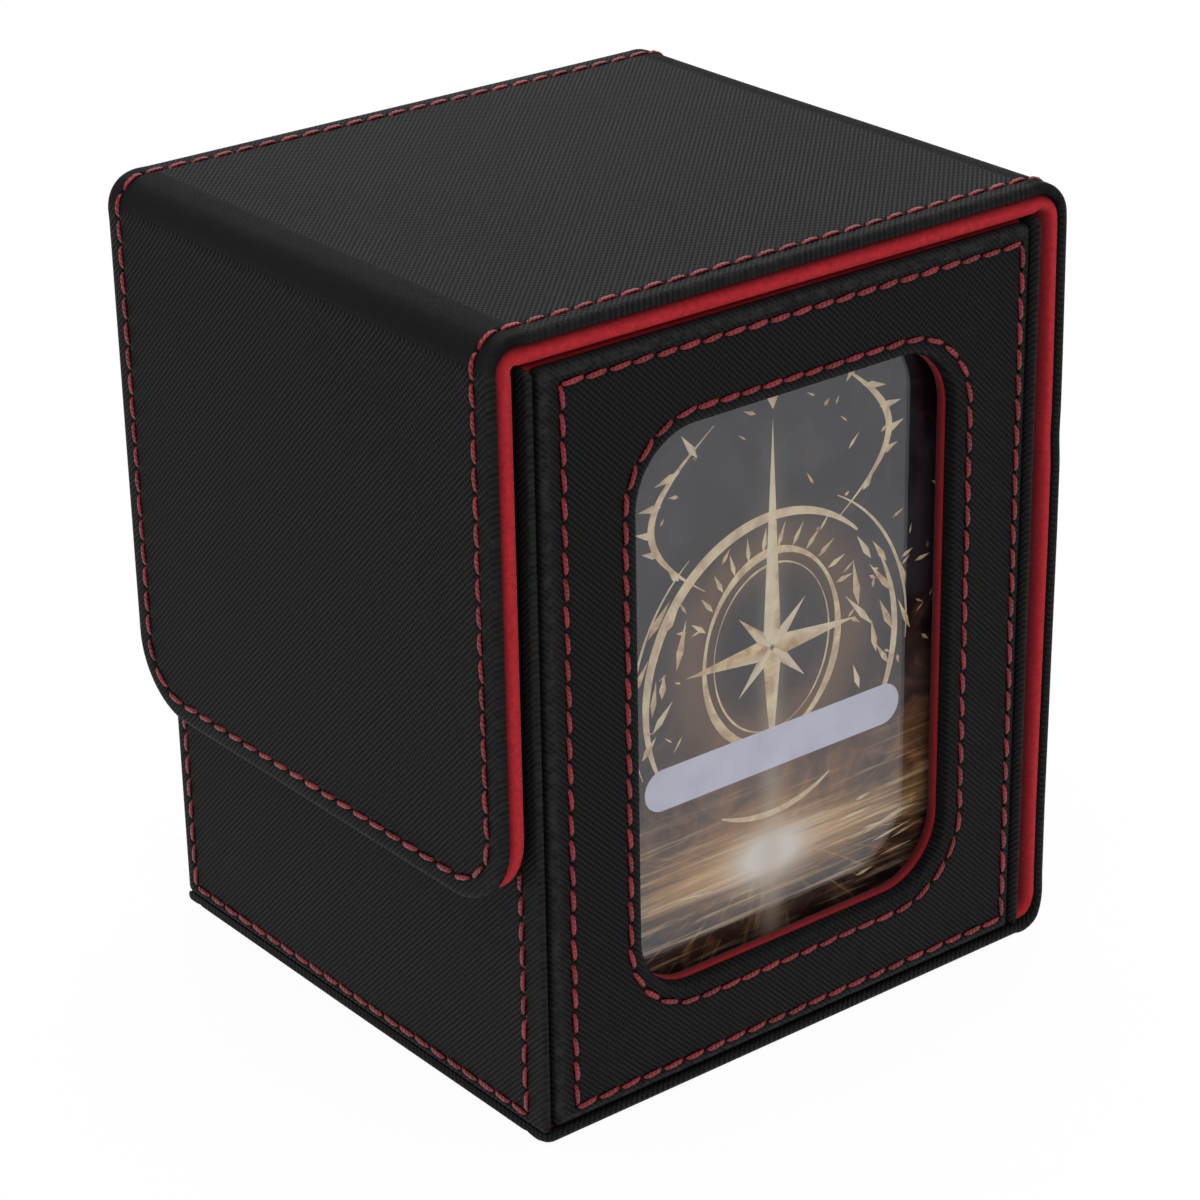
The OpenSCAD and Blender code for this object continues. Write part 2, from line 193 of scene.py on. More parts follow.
def black_cover():
    """Embossed PU cover: a fine cross twill with its valleys painted darker as shade, smoother along the turned edges
    and painted lighter there as a highlight.
    """
    m = Nodes("black_cover", (0.01, 0.01, 0.011))
    grain = m.attribute("grain")
    highlight_and_shade = m.attribute("highlight_and_shade", "Fac")
    wobble = m.noise(grain, 0.9, 2.0)
    x, y, lead = m.split(grain)  # lead says which of the two ridge directions is the stronger
    x = m.add(x, m.mul(m.sub(wobble, 0.5), 0.22))
    y = m.mul(y, m.sub(1.0, m.mul(lead, 2.0)))
    k = 2 * math.pi / (0.575 * math.sqrt(2))
    a = m.sin(m.mul(m.add(x, y), k))
    b = m.sin(m.mul(m.sub(x, y), k))
    ridge = m.add(m.mul(a, 0.5), 0.5)
    cross = m.add(m.mul(b, 0.5), 0.5)
    patch = m.noise(grain, 0.11, 3.0, 0.6)
    share = m.span(patch, 0.35, 0.65, 0.28, 0.52)
    weave = m.add(m.mul(ridge, m.sub(1.0, share)), m.mul(m.mul(cross, m.add(m.mul(ridge, 0.5), 0.5)), share))
    fine = m.noise(grain, 4.5, 2.0, 0.6)
    height = m.add(weave, m.mul(fine, 0.28))
    height = m.mul(height, m.sub(1.0, m.mul(highlight_and_shade, 0.55)))
    # painted shade: the weave's valleys are painted darker than its ridges
    lift = m.span(weave, 0.1, 0.95, 0.0, 1.0)
    colour = m.mix(lift, (0.0030, 0.0031, 0.0033), (0.0150, 0.0152, 0.0156))
    colour = m.mix(m.mul(m.span(patch, 0.3, 0.7, 0.0, 1.0), 0.25), colour, (0.0082, 0.0081, 0.0083))
    # painted highlight: the turned edges and rims are painted lighter, broken up by noise, and made a little glossier
    painted_edge_highlight = m.mul(highlight_and_shade, m.span(m.noise(grain, 0.8, 4.0, 0.7), 0.42, 0.68, 0.15, 1.0))
    colour = m.mix(m.mul(painted_edge_highlight, 0.6), colour, (0.028, 0.028, 0.029))
    rough = m.span(lift, 0.0, 1.0, 0.66, 0.47)
    rough = m.sub(rough, m.mul(painted_edge_highlight, 0.08))
    return m.finish(Base_Color=colour, Roughness=rough, Specular_IOR_Level=0.055, Normal=m.bump(height, 0.00011, 0.85))


def red_lining():
    """Brushed microfibre: short soft nap with faint stroke marks, painted darker as shade where it turns into creases
    and recesses.
    """
    m = Nodes("red_lining", (0.45, 0.02, 0.03))
    at = m.place()
    nap = m.noise(at, 5200.0, 3.0, 0.7)
    tuft = m.noise(at, 1500.0, 3.0, 0.65)
    brush = m.noise(at, 160.0, 3.0, 0.6, 0.6)
    colour = m.mix(m.span(tuft, 0.3, 0.7, 0.0, 1.0), (0.35, 0.012, 0.018), (0.55, 0.023, 0.034))
    colour = m.mix(m.mul(m.span(brush, 0.35, 0.7, 0.0, 1.0), 0.35), colour, (0.43, 0.015, 0.023))
    colour = m.mix(m.attribute("highlight_and_shade", "Fac"), colour, (0.075, 0.004, 0.006))  # painted shade where the pad turns in under the cover, back into corners and down the window's jamb
    height = m.add(m.mul(nap, 0.5), m.mul(tuft, 0.8))
    return m.finish(
        Base_Color=colour, Roughness=m.span(nap, 0.3, 0.7, 0.82, 0.98), Specular_IOR_Level=0.22, Sheen_Weight=0.12,
        Sheen_Roughness=0.45, Sheen_Tint=(1.0, 0.42, 0.42), Normal=m.bump(height, 0.00016, 0.75),
    )  # fmt: skip


def red_thread():
    """Two-ply polyester thread: its plies wind round the stitch."""
    m = Nodes("red_thread", (0.3, 0.03, 0.05))
    grain = m.attribute("grain")
    x, y, z = m.split(grain)
    ply = m.sin(m.add(m.mul(x, 2 * math.pi / 0.62), m.mul(y, 2 * math.pi / 1.1)))
    fibre = m.noise(grain, 6.0, 2.0, 0.6)
    tone = m.noise(m.join(z, 0.0, 0.0), 3.7, 0.0)
    # painted shade and highlight: the plies' grooves are painted dark and their crests light
    colour = m.mix(m.span(ply, -0.8, 0.9, 0.0, 1.0), (0.034, 0.0015, 0.003), (0.25, 0.009, 0.016))
    colour = m.mix(m.mul(m.span(tone, 0.3, 0.7, 0.0, 1.0), 0.42), colour, (0.42, 0.028, 0.038))
    colour = m.mix(m.mul(fibre, 0.2), colour, (0.09, 0.004, 0.007))
    height = m.add(m.mul(ply, 0.5), m.mul(fibre, 0.4))
    return m.finish(
        Base_Color=colour, Roughness=m.span(fibre, 0.3, 0.7, 0.22, 0.34), Specular_IOR_Level=0.45,
        Specular_Tint=(1.0, 0.66, 0.66, 1.0), Normal=m.bump(height, 0.00008, 0.8),
    )  # fmt: skip


def greyboard():
    m = Nodes("greyboard", (0.35, 0.33, 0.3))
    at = m.place()
    pulp = m.noise(at, 2600.0, 4.0, 0.7)
    fleck = m.noise(at, 700.0, 3.0, 0.6)
    colour = m.mix(pulp, (0.24, 0.225, 0.20), (0.40, 0.38, 0.35))
    colour = m.mix(m.span(fleck, 0.62, 0.7, 0.0, 0.6), colour, (0.16, 0.15, 0.14))
    return m.finish(Base_Color=colour, Roughness=m.span(pulp, 0.3, 0.7, 0.8, 0.95), Normal=m.bump(pulp, 0.00008, 0.6))


def metal(name, tint, rough):
    m = Nodes(name, tint)
    at = m.place()
    x, y, z = m.split(at)
    lines = m.noise(m.join(m.mul(x, 90.0), m.mul(y, 90.0), m.mul(z, 2600.0)), 1.0)
    colour = m.mix(lines, tuple(c * 0.75 for c in tint), tint)
    return m.finish(
        Base_Color=colour, Metallic=1.0, Roughness=m.span(lines, 0.3, 0.7, rough, rough + 0.15),
        Normal=m.bump(lines, 0.00002, 0.4),
    )  # fmt: skip


def clear_film():
    """Thin clear sheet: mostly see-through, with a mirror that grows towards grazing angles."""
    m = Nodes("clear_film", (0.8, 0.85, 0.9))
    at = m.place()
    ripple = m.noise(at, 28.0, 2.0, 0.5)
    smudge = m.noise(at, 90.0, 2.0, 0.5)
    normal = m.bump(ripple, 0.0005, 0.12)
    facing = m.node("LayerWeight", {"Blend": 0.5, "Normal": normal}).outputs["Facing"]
    mirror = m.add(m.mul(m.maths("POWER", facing, 5.0), 0.85), 0.12)
    gloss = m.node(
        "BsdfGlossy",
        {"Color": (0.335, 0.335, 0.35, 1), "Roughness": m.span(smudge, 0.35, 0.75, 0.02, 0.04), "Normal": normal},
    ).outputs[0]
    clear = m.node("BsdfTransparent", {"Color": (0.985, 0.985, 0.99, 1)}).outputs[0]
    return m.finish(m.node("MixShader", {0: mirror, 1: clear, 2: gloss}).outputs[0])


def card_face():
    """Printed card: smoke over a dark ground, a warm glow on a low horizon and light raying out over the floor."""
    m = Nodes("card_face", (0.05, 0.05, 0.06))
    grain = m.attribute("grain")
    x, y, _ = m.split(grain)
    smoke = m.noise(grain, 0.055, 3.0, 0.5, 1.2)
    wisps = m.noise(grain, 0.15, 3.0, 0.55, 1.6)
    ground = m.mix(m.span(smoke, 0.3, 0.72, 0.0, 1.0, True), (0.003, 0.003, 0.005), (0.034, 0.032, 0.040))
    ember = m.mul(m.span(wisps, 0.55, 0.75, 0.0, 1.0, True), m.span(y, 30.0, 84.0, 0.55, 0.10))
    ground = m.mix(ember, ground, (0.22, 0.10, 0.055))
    # warm haze over the lower half, broken up by the smoke
    haze = m.mul(m.bell(y, 28.0, 12.0), m.span(wisps, 0.38, 0.68, 0.12, 1.0))
    ground = m.mix(m.mul(haze, 0.62), ground, (0.46, 0.205, 0.075))
    # light raying out below the horizon
    dx = m.sub(x, 0.3)
    below = m.sub(23.5, y)
    fan = m.maths("DIVIDE", dx, m.add(m.maths("ABSOLUTE", below), 2.5))
    rays = m.noise(m.join(m.mul(fan, 2.3), m.mul(below, 0.03), 0.0), 2.2, 3.0, 0.7)
    rays = m.span(rays, 0.55, 0.68, 0.0, 1.0)
    ground = m.mix(m.mul(m.mul(rays, m.bell(y, 20.0, 9.0)), 0.7), ground, (0.70, 0.38, 0.15))
    # broken rock along the foot, dark against the haze
    rock = m.span(m.noise(grain, 0.17, 4.0, 0.62, 0.6), 0.50, 0.56, 0.0, 1.0)
    ground = m.mix(m.mul(m.mul(rock, m.bell(y, 14.0, 7.0)), 0.85), ground, (0.010, 0.008, 0.010))
    # the glow itself
    wide = m.mul(m.bell(x, 0.3, 24.0), m.bell(y, 23.8, 2.6))
    soft = m.mul(m.bell(x, 0.3, 12.0), m.bell(y, 25.0, 6.0))
    hot = m.mul(m.bell(x, 0.3, 5.6), m.bell(y, 23.5, 3.0))
    ground = m.mix(m.mul(soft, 0.62), ground, (0.80, 0.42, 0.15))
    ground = m.mix(m.mul(wide, 0.72), ground, (0.95, 0.56, 0.23))
    # streaks level with the horizon, bright and dark
    flat = m.join(m.mul(x, 0.030), m.mul(y, 0.95), 0.0)
    level = m.noise(flat, 1.0, 4.0, 0.72, 0.4)
    band = m.bell(y, 22.0, 8.5)
    ground = m.mix(m.mul(m.span(level, 0.47, 0.33, 0.0, 1.0), m.mul(band, 0.8)), ground, (0.030, 0.018, 0.014))
    ground = m.mix(m.mul(m.span(level, 0.53, 0.66, 0.0, 1.0), m.mul(band, 0.95)), ground, (0.92, 0.67, 0.39))
    ground = m.mix(m.maths("MINIMUM", m.mul(hot, 1.5), 1.0), ground, (1.0, 0.94, 0.84))
    # faint beam behind the star, and soft light round it
    beam = m.mul(m.bell(x, 0.5, 1.9), m.span(y, 36.0, 84.0, 0.40, 0.0))
    ground = m.mix(beam, ground, (0.72, 0.60, 0.44))
    off_x, off_y = m.sub(x, 0.5), m.sub(y, 52.0)
    halo = m.bell(m.maths("SQRT", m.add(m.mul(off_x, off_x), m.mul(off_y, off_y))), 12.5, 3.6)
    ground = m.mix(m.mul(halo, 0.22), ground, (0.68, 0.35, 0.13))
    dots = m.noise(grain, 9.0, 1.0, 0.5)
    return m.finish(
        Base_Color=ground, Roughness=m.span(dots, 0.3, 0.7, 0.30, 0.42), Specular_IOR_Level=0.12,
        Normal=m.bump(dots, 0.00001, 0.3),
    )  # fmt: skip


def card_foil():
    """Gold line work: pale where the stroke is thick, amber where it thins out."""
    m = Nodes("card_foil", (0.9, 0.7, 0.4))
    grain = m.attribute("grain")
    flow = m.noise(grain, 0.35, 3.0, 0.6, 0.8)
    fleck = m.noise(grain, 3.2, 2.0, 0.6)
    colour = m.mix(m.span(flow, 0.32, 0.68, 0.0, 1.0, True), (0.46, 0.19, 0.05), (1.0, 0.77, 0.39))
    colour = m.mix(m.mul(m.attribute("highlight_and_shade", "Fac"), 0.8), colour, (1.0, 0.90, 0.66))
    colour = m.mix(m.mul(m.span(fleck, 0.5, 0.7, 0.0, 1.0), 0.3), colour, (0.75, 0.46, 0.18))
    return m.finish(
        Base_Color=colour, Roughness=m.span(fleck, 0.3, 0.7, 0.28, 0.45), Normal=m.bump(fleck, 0.00001, 0.4),
    )  # fmt: skip


def card_label():
    m = Nodes("card_label", (0.6, 0.6, 0.66))
    grain = m.attribute("grain")
    cloud = m.noise(grain, 0.22, 3.0, 0.5)
    fine = m.noise(grain, 7.0, 2.0, 0.5)
    colour = m.mix(m.span(cloud, 0.3, 0.7, 0.0, 1.0), (0.69, 0.69, 0.83), (0.79, 0.79, 0.93))
    return m.finish(Base_Color=colour, Roughness=m.span(fine, 0.3, 0.7, 0.35, 0.5), Normal=m.bump(fine, 0.00001, 0.4))


def card_stock():
    m = Nodes("card_stock", (0.75, 0.74, 0.72))
    at = m.place()
    layers = m.noise(at, 1800.0, 3.0, 0.6)
    colour = m.mix(layers, (0.50, 0.50, 0.52), (0.70, 0.70, 0.71))
    return m.finish(
        Base_Color=colour, Roughness=m.span(layers, 0.3, 0.7, 0.4, 0.6), Normal=m.bump(layers, 0.00002, 0.4),
    )  # fmt: skip


def floor_material():
    """White sweep, mostly lit from within like a light table so that only a faint contact shadow is left."""
    m = Nodes("floor", (0.9, 0.9, 0.9))
    at = m.place()
    cloud = m.noise(at, 3.0, 2.0, 0.5)
    colour = m.mix(cloud, (0.925, 0.925, 0.925), (0.94, 0.94, 0.94))
    paper = m.shader(Base_Color=colour, Roughness=0.9, Specular_IOR_Level=0.1)
    glow = m.node("Emission", {"Color": (1.0, 1.0, 1.0, 1), "Strength": 1.0}).outputs[0]
    return m.finish(m.node("MixShader", {0: 0.95, 1: paper, 2: glow}).outputs[0])


# ---------------------------------------------------------------- mesh helpers


class Build:
    """Gathers vertices, their grain coordinates and a mask of painted highlight and shade, and faces, then makes one
    closed mesh.
    """

    def __init__(self):
        self.v, self.g, self.w, self.f, self.n = [], [], [], [], 0

    def put(self, xyz, grain, highlight_and_shade, faces):
        xyz = np.asarray(xyz, float).reshape(-1, 3)
        grain = np.asarray(grain, float).reshape(-1, np.shape(grain)[-1])
        if grain.shape[1] == 2:
            grain = np.column_stack([grain, np.zeros(len(grain))])
        self.v.append(xyz)
        self.g.append(grain)
        self.w.append(np.broadcast_to(np.asarray(highlight_and_shade, float).reshape(-1), (len(xyz),)))
        self.f.extend([tuple(int(i) + self.n for i in f) for f in faces])
        self.n += len(xyz)

    def grid(self, xyz, grain, highlight_and_shade=0.0, closed=True, caps=False):
        """Rows of points: each row joins the next, and closed rows join end to start."""
        xyz = np.asarray(xyz, float)
        rows, cols = xyz.shape[:2]
        span = cols if closed else cols - 1
        i, j = np.meshgrid(np.arange(rows - 1), np.arange(span), indexing="ij")
        k = (j + 1) % cols
        here, there = i * cols, (i + 1) * cols
        faces = np.stack([here + j, here + k, there + k, there + j], -1).reshape(-1, 4).tolist()
        if caps:
            faces.append(list(range(cols)))
            faces.append([(rows - 1) * cols + c for c in range(cols)])
        self.put(xyz, grain, np.broadcast_to(highlight_and_shade, (rows, cols)).reshape(-1) if np.ndim(highlight_and_shade) else highlight_and_shade, faces)

    def done(self, name, look, body=None, blend=None, replaces=(), sharp=48, padded=None):
        """look is (material, slot)."""
        me = bpy.data.meshes.new(name)
        me.from_pydata((np.concatenate(self.v) * MM).tolist(), [], self.f)
        a = me.attributes.new("grain", "FLOAT_VECTOR", "POINT")
        a.data.foreach_set("vector", np.concatenate(self.g).astype(np.float32).ravel())
        a = me.attributes.new("highlight_and_shade", "FLOAT", "POINT")
        a.data.foreach_set("value", np.concatenate(self.w).astype(np.float32))
        bm = bmesh.new()
        bm.from_mesh(me)
        bmesh.ops.remove_doubles(bm, verts=bm.verts, dist=2e-6)
        bmesh.ops.dissolve_degenerate(bm, edges=bm.edges, dist=1e-7)
        bmesh.ops.recalc_face_normals(bm, faces=bm.faces)
        bm.to_mesh(me)
        bm.free()
        me.shade_smooth()
        me.set_sharp_from_angle(angle=math.radians(sharp))
        me.materials.append(look[0])
        ob = bpy.data.objects.new(name, me)
        bpy.context.scene.collection.objects.link(ob)
        if blend:
            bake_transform(ob)
        else:
            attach(ob, body)
        if replaces:
            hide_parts(*replaces)
        return ob


def plane(origin, u, v, n):
    """Maps (a, b, height) on a flat face to a place."""
    origin, u, v, n = (np.array(x, float) for x in (origin, u, v, n))
    return lambda a, b, h: origin + np.multiply.outer(a, u) + np.multiply.outer(b, v) + np.multiply.outer(h, n)


def across_x(x, out):
    """plane() for a side wall whose outer face looks along out."""
    return plane((x, 0, 0), (0, 1, 0), (0, 0, 1), (out, 0, 0))


def across_y(y, out):
    """plane() for a front or rear wall whose outer face looks along out."""
    return plane((0, y, 0), (1, 0, 0), (0, 0, 1), (0, out, 0))


def relief(a, b, size=0.05):
    """The slight unevenness of a covered board."""
    return size * (np.sin(a / 17 + 1.3) * np.sin(b / 13 + 0.7) + 0.5 * np.sin(a / 7.3 + b / 9.1))


def sides(rect, r):
    """Start, end, next corner's centre and its first angle, for each side of a rectangle with round corners."""
    x0, y0, x1, y1 = rect
    return (
        ((x0 + r, y0), (x1 - r, y0), (x1 - r, y0 + r), -90),
        ((x1, y0 + r), (x1, y1 - r), (x1 - r, y1 - r), 0),
        ((x1 - r, y1), (x0 + r, y1), (x0 + r, y1 - r), 90),
        ((x0, y1 - r), (x0, y0 + r), (x0 + r, y0 + r), 180),
    )


def loop(rect, r, n):
    """Points round a rectangle with round corners, the same number whatever its size."""
    nx, ny, nc = n
    pts = []
    for (p, q, c, a0), k in zip(sides(rect, r), (nx, ny, nx, ny)):
        t = np.arange(k)[:, None] / k
        pts.append(np.array(p) + (np.array(q) - np.array(p)) * t)
        ang = np.radians(a0 + 90 * np.arange(nc) / nc)
        pts.append(np.array(c) + r * np.column_stack([np.cos(ang), np.sin(ang)]))
    return np.concatenate(pts)


def grown(rect, d):
    return (rect[0] - d, rect[1] - d, rect[2] + d, rect[3] + d)


def inside_round(p, rect, r):
    x0, y0, x1, y1 = rect
    dx = np.maximum(np.maximum(x0 + r - p[:, 0], p[:, 0] - (x1 - r)), 0)
    dy = np.maximum(np.maximum(y0 + r - p[:, 1], p[:, 1] - (y1 - r)), 0)
    return (p[:, 0] > x0) & (p[:, 0] < x1) & (p[:, 1] > y0) & (p[:, 1] < y1) & (dx * dx + dy * dy < r * r + 1e-9)


def fill(outer, hole=None, hole_shape=None, step=4.0, clear=2.0):
    """Triangles between an outer loop and an optional hole, with loose points between."""
    loops = [outer] + ([hole] if hole is not None else [])
    pts, edges = [], []
    for lp in loops:
        keep = [0]
        for i in range(1, len(lp)):
            if np.abs(lp[i] - lp[keep[-1]]).max() > 1e-4:
                keep.append(i)
        if np.abs(lp[keep[-1]] - lp[keep[0]]).max() <= 1e-4:
            keep.pop()
        base = len(pts)
        pts += [tuple(lp[i]) for i in keep]
        edges += [(base + i, base + (i + 1) % len(keep)) for i in range(len(keep))]
    edge_pts = np.array(pts)
    lo, hi = outer.min(0) + clear, outer.max(0) - clear
    nx, ny = max(1, round((hi[0] - lo[0]) / step)), max(1, round((hi[1] - lo[1]) / step))
    gx, gy = np.meshgrid(np.linspace(lo[0], hi[0], nx + 1), np.linspace(lo[1], hi[1], ny + 1))
    grid = np.column_stack([gx.ravel(), gy.ravel()])
    near = np.sqrt(((grid[:, None, :] - edge_pts[None, ::3, :]) ** 2).sum(-1)).min(1)
    grid = grid[near > clear * 0.8]
    if hole_shape is not None:
        grid = grid[~inside_round(grid, grown(hole_shape[0], clear), hole_shape[1] + clear)]
    pts += [tuple(p) for p in grid]
    co, _, faces, *_ = delaunay_2d_cdt([Vector(p) for p in pts], edges, [], 1, 1e-6)
    co = np.array([tuple(c) for c in co])
    faces = [f for f in faces if len(f) >= 3]
    if hole_shape is not None:
        mid = np.array([co[list(f)].mean(0) for f in faces])
        gone = inside_round(mid, hole_shape[0], hole_shape[1])
        faces = [f for f, g in zip(faces, gone) if not g]
    return co, faces


STITCH, PER = 3.3, 6  # stitch pitch, and mesh points to each stitch
SHARP_CORNER = 1.5  # a row turns a corner of a smaller radius without stitches of its own there


def needle(d):
    """1 at a needle hole, less at distance d from it."""
    return np.exp(-((d / 0.5) ** 2))


def pit(index):
    """needle() by where a point is along its stitch."""
    i = np.arange(index) % PER
    return needle(np.minimum(i, PER - i) * (STITCH / PER))


CHANNEL = (0.85, 0.55, 0.3, 0.12, 0.0, -0.12, -0.3, -0.55, -0.85)


def channel_depth(d, hole):
    """How far the cover is drawn in at distance d from a row of stitches."""
    return 0.13 * np.exp(-((d / 0.42) ** 2)) + 0.30 * hole * np.exp(-((d / 0.24) ** 2))


def runs(rect, r):
    """Stitch places round a rectangle: (a, b, angle) for each, as many to a side as fit."""
    out = []
    for p, q, _, _ in sides(rect, r):
        p, q = np.array(p), np.array(q)
        n = max(1, round(float(np.linalg.norm(q - p)) / STITCH))
        ang = math.atan2(*(q - p)[::-1])
        out += [(*(p + (q - p) * (i + 0.5) / n), ang) for i in range(n)]
    if r > SHARP_CORNER:
        for _, _, centre, a0 in sides(rect, r):
            out += turns(*centre, r, a0, a0 + 90)
    return out


def turns(cx, cy, r, a0, a1):
    n = max(1, round(abs(a1 - a0) * math.pi / 180 * r / STITCH))
    angles = [math.radians(a0 + (a1 - a0) * (i + 0.5) / n) for i in range(n)]
    return [(cx + r * math.cos(a), cy + r * math.sin(a), a + math.pi / 2) for a in angles]


def side_counts(rect, r):
    nx = max(1, round((rect[2] - rect[0] - 2 * r) / STITCH))
    ny = max(1, round((rect[3] - rect[1] - 2 * r) / STITCH))
    nc = max(1, round(math.pi / 2 * r / STITCH)) if r > SHARP_CORNER else 1
    return nx * PER, ny * PER, nc * PER


ROUND, ALONG = 10, 13  # points round a stitch, and along it


def stitches(build, places, at, seed, length=3.22, slant=0.09):
    """Arched two-ply stitches whose tapered ends sink into their needle holes. at maps (a, b, height) to a place."""
    rng = np.random.default_rng(seed)
    t = np.linspace(-1, 1, ALONG)[:, None]
    phi = (np.arange(ROUND) * 2 * math.pi / ROUND)[None, :]
    for k, (a, b, ang) in enumerate(places):
        ln = length * (1 + rng.uniform(-0.05, 0.05))
        wide = 0.35 * (1 + rng.uniform(-0.08, 0.08))
        ang = ang + slant + rng.uniform(-0.035, 0.035)
        a, b = a + rng.uniform(-0.05, 0.05), b + rng.uniform(-0.05, 0.05)
        s = t * ln / 2
        body = np.sqrt(np.clip(1 - np.abs(t) ** 2.6, 0, 1))
        lobe = 1 + 0.09 * np.cos(2 * phi + 2 * math.pi * s / 1.25 + rng.uniform(0, 6))
        side = wide * body * lobe * np.cos(phi)
        lift = 0.08 - 0.40 * np.abs(t) ** 4.0 + 0.20 * body * lobe * np.sin(phi) + rng.uniform(-0.02, 0.02)
        s, _ = np.broadcast_arrays(s, side)
        pa = a + s * math.cos(ang) - side * math.sin(ang)
        pb = b + s * math.sin(ang) + side * math.cos(ang)
        grain = np.stack([s + 0 * side, 0.36 * phi + 0 * side, np.full(s.shape, k * 0.37 + seed)], -1)
        build.grid(at(pa, pb, lift), grain, 0.0)


RIM = ((0.9, -0.0), (0.62, -0.03), (0.38, -0.12), (0.17, -0.29), (0.04, -0.54), (0.0, -0.80))
ROW_GAP = 2.1  # from the window's edge to the row round it


def panel(
    name, look, at, rect, r, thick, stitch=None, window=None, sag=0.05, rim=RIM, padded=None, painted_rim_highlight=1.0, back=None
):
    """A covered board of the box, standing for the CAD node of its name: rounded rim painted lighter as a highlight,
    an optional row of stitches drawn into it, an optional window, filled front and back."""
    build = Build()
    n = side_counts(*stitch) if stitch else (24, 24, 6)
    size = sum(n) * 2 + 2 * n[2]
    rings, heights, ring_shading = [], [], []

    def ring(rect, r, height, highlight_and_shade):
        rings.append(loop(rect, max(r, 0.0), n))
        heights.append(np.broadcast_to(height, (size,)))
        ring_shading.append(np.full(size, highlight_and_shade))

    back = list(back or ((d, -thick + up) for d, up in ((1.0, 0), (0.5, 0), (0.2, 0.1), (0.05, 0.28), (0.0, 0.52))))
    # the rounded rim gets a painted highlight, scaled for each panel
    for d, h in back + [x for x in reversed(rim) if x[1] > back[-1][1] + 0.02]:
        ring(grown(rect, -d), r - d, h, painted_rim_highlight * (1.0 if -0.5 < h < -0.01 else 0.35))
    if stitch:
        hole = pit(size)
        # the mask is faintly raised along the stitch channel, which lightens it a little
        for d in CHANNEL:
            ring(grown(stitch[0], d), stitch[1] + d, -channel_depth(d, hole), 0.12 * math.exp(-((d / 0.5) ** 2)))
        ring(grown(stitch[0], -1.5), stitch[1] - 1.5, 0.0, 0.0)
    else:
        ring(grown(rect, -2.2), r - 2.2, 0.0, 0.0)
    xy, high = np.array(rings), np.array(heights)
    flat = np.array([[1.0 if k >= len(back) + 3 else 0.0] for k in range(len(rings))])
    high = high + flat * relief(xy[..., 0], xy[..., 1], sag)
    build.grid(at(xy[..., 0], xy[..., 1], high), xy, np.array(ring_shading))
    hole_loop = shape = back_hole = back_shape = None
    if window:
        wrect, wr, start, lip, highlight_and_shade = (window[k] for k in ("rect", "r", "start", "lip", "highlight_and_shade"))
        wn = side_counts(grown(wrect, ROW_GAP), wr + ROW_GAP)
        wsize = sum(wn) * 2 + 2 * wn[2]
        whole = pit(wsize)
        rows, tops, lip_shading = [], [], []
        for d in CHANNEL if window.get("stitch") else ():
            rows.append(loop(grown(wrect, ROW_GAP + d), wr + ROW_GAP + d, wn))
            tops.append(-channel_depth(d, whole) + relief(rows[-1][:, 0], rows[-1][:, 1], sag))
            lip_shading.append(np.zeros(wsize))
        for d, h in lip:
            rows.append(loop(grown(wrect, d), wr + d, wn))
            tops.append(np.full(wsize, h))
            lip_shading.append(np.full(wsize, highlight_and_shade(h)))
        rows, tops = np.array(rows), np.array(tops)
        build.grid(at(rows[..., 0], rows[..., 1], tops), rows, np.array(lip_shading))
        hole_loop, shape = rows[0], (grown(wrect, start), wr + start)
        back_hole, back_shape = rows[-1], (grown(wrect, lip[-1][0]), wr + lip[-1][0])
    co, faces = fill(rings[-1], hole_loop, shape)
    build.put(at(co[:, 0], co[:, 1], relief(co[:, 0], co[:, 1], sag)), co, 0.0, faces)
    co, faces = fill(rings[0], back_hole, back_shape, 12.0, 3.0)
    build.put(at(co[:, 0], co[:, 1], np.full(len(co), -thick)), co, 0.0, faces)
    return build.done(name, look, body="box", replaces=(name,), padded=padded)


# ---------------------------------------------------------------- the wrap: one strap, cut into pieces at its folds

HALF, TOP, NEAR, FAR = 43.5, 102.2, -38.2, 39.0
FOLD_R, BASE_R, FLAP_LOW, FLAP_R = 4.5, 5.0, 31.4, 9.8
WAIST_LOW, WAIST_HIGH = 66.6, 70.0
COVER, LINING, INSET = 1.5, 2.5, 2.7
SHELL_HALF = 39.0  # from the middle to the outer face of the box's walls
S1 = TOP - FOLD_R - FLAP_LOW
S2 = S1 + FOLD_R * math.pi / 2
S3 = S2 + 2 * (HALF - FOLD_R)
S4 = S3 + FOLD_R * math.pi / 2
S5 = S4 + TOP - FOLD_R - WAIST_HIGH
S6 = S5 + WAIST_HIGH - WAIST_LOW
S7 = S6 + WAIST_LOW - BASE_R
S8 = S7 + BASE_R * math.pi / 2
S9 = S8 + HALF - BASE_R + SHELL_HALF
ROW_START = FLAP_R
ROW_N = round((S7 - ROW_START) / STITCH)
PITCH = (S7 - ROW_START) / ROW_N


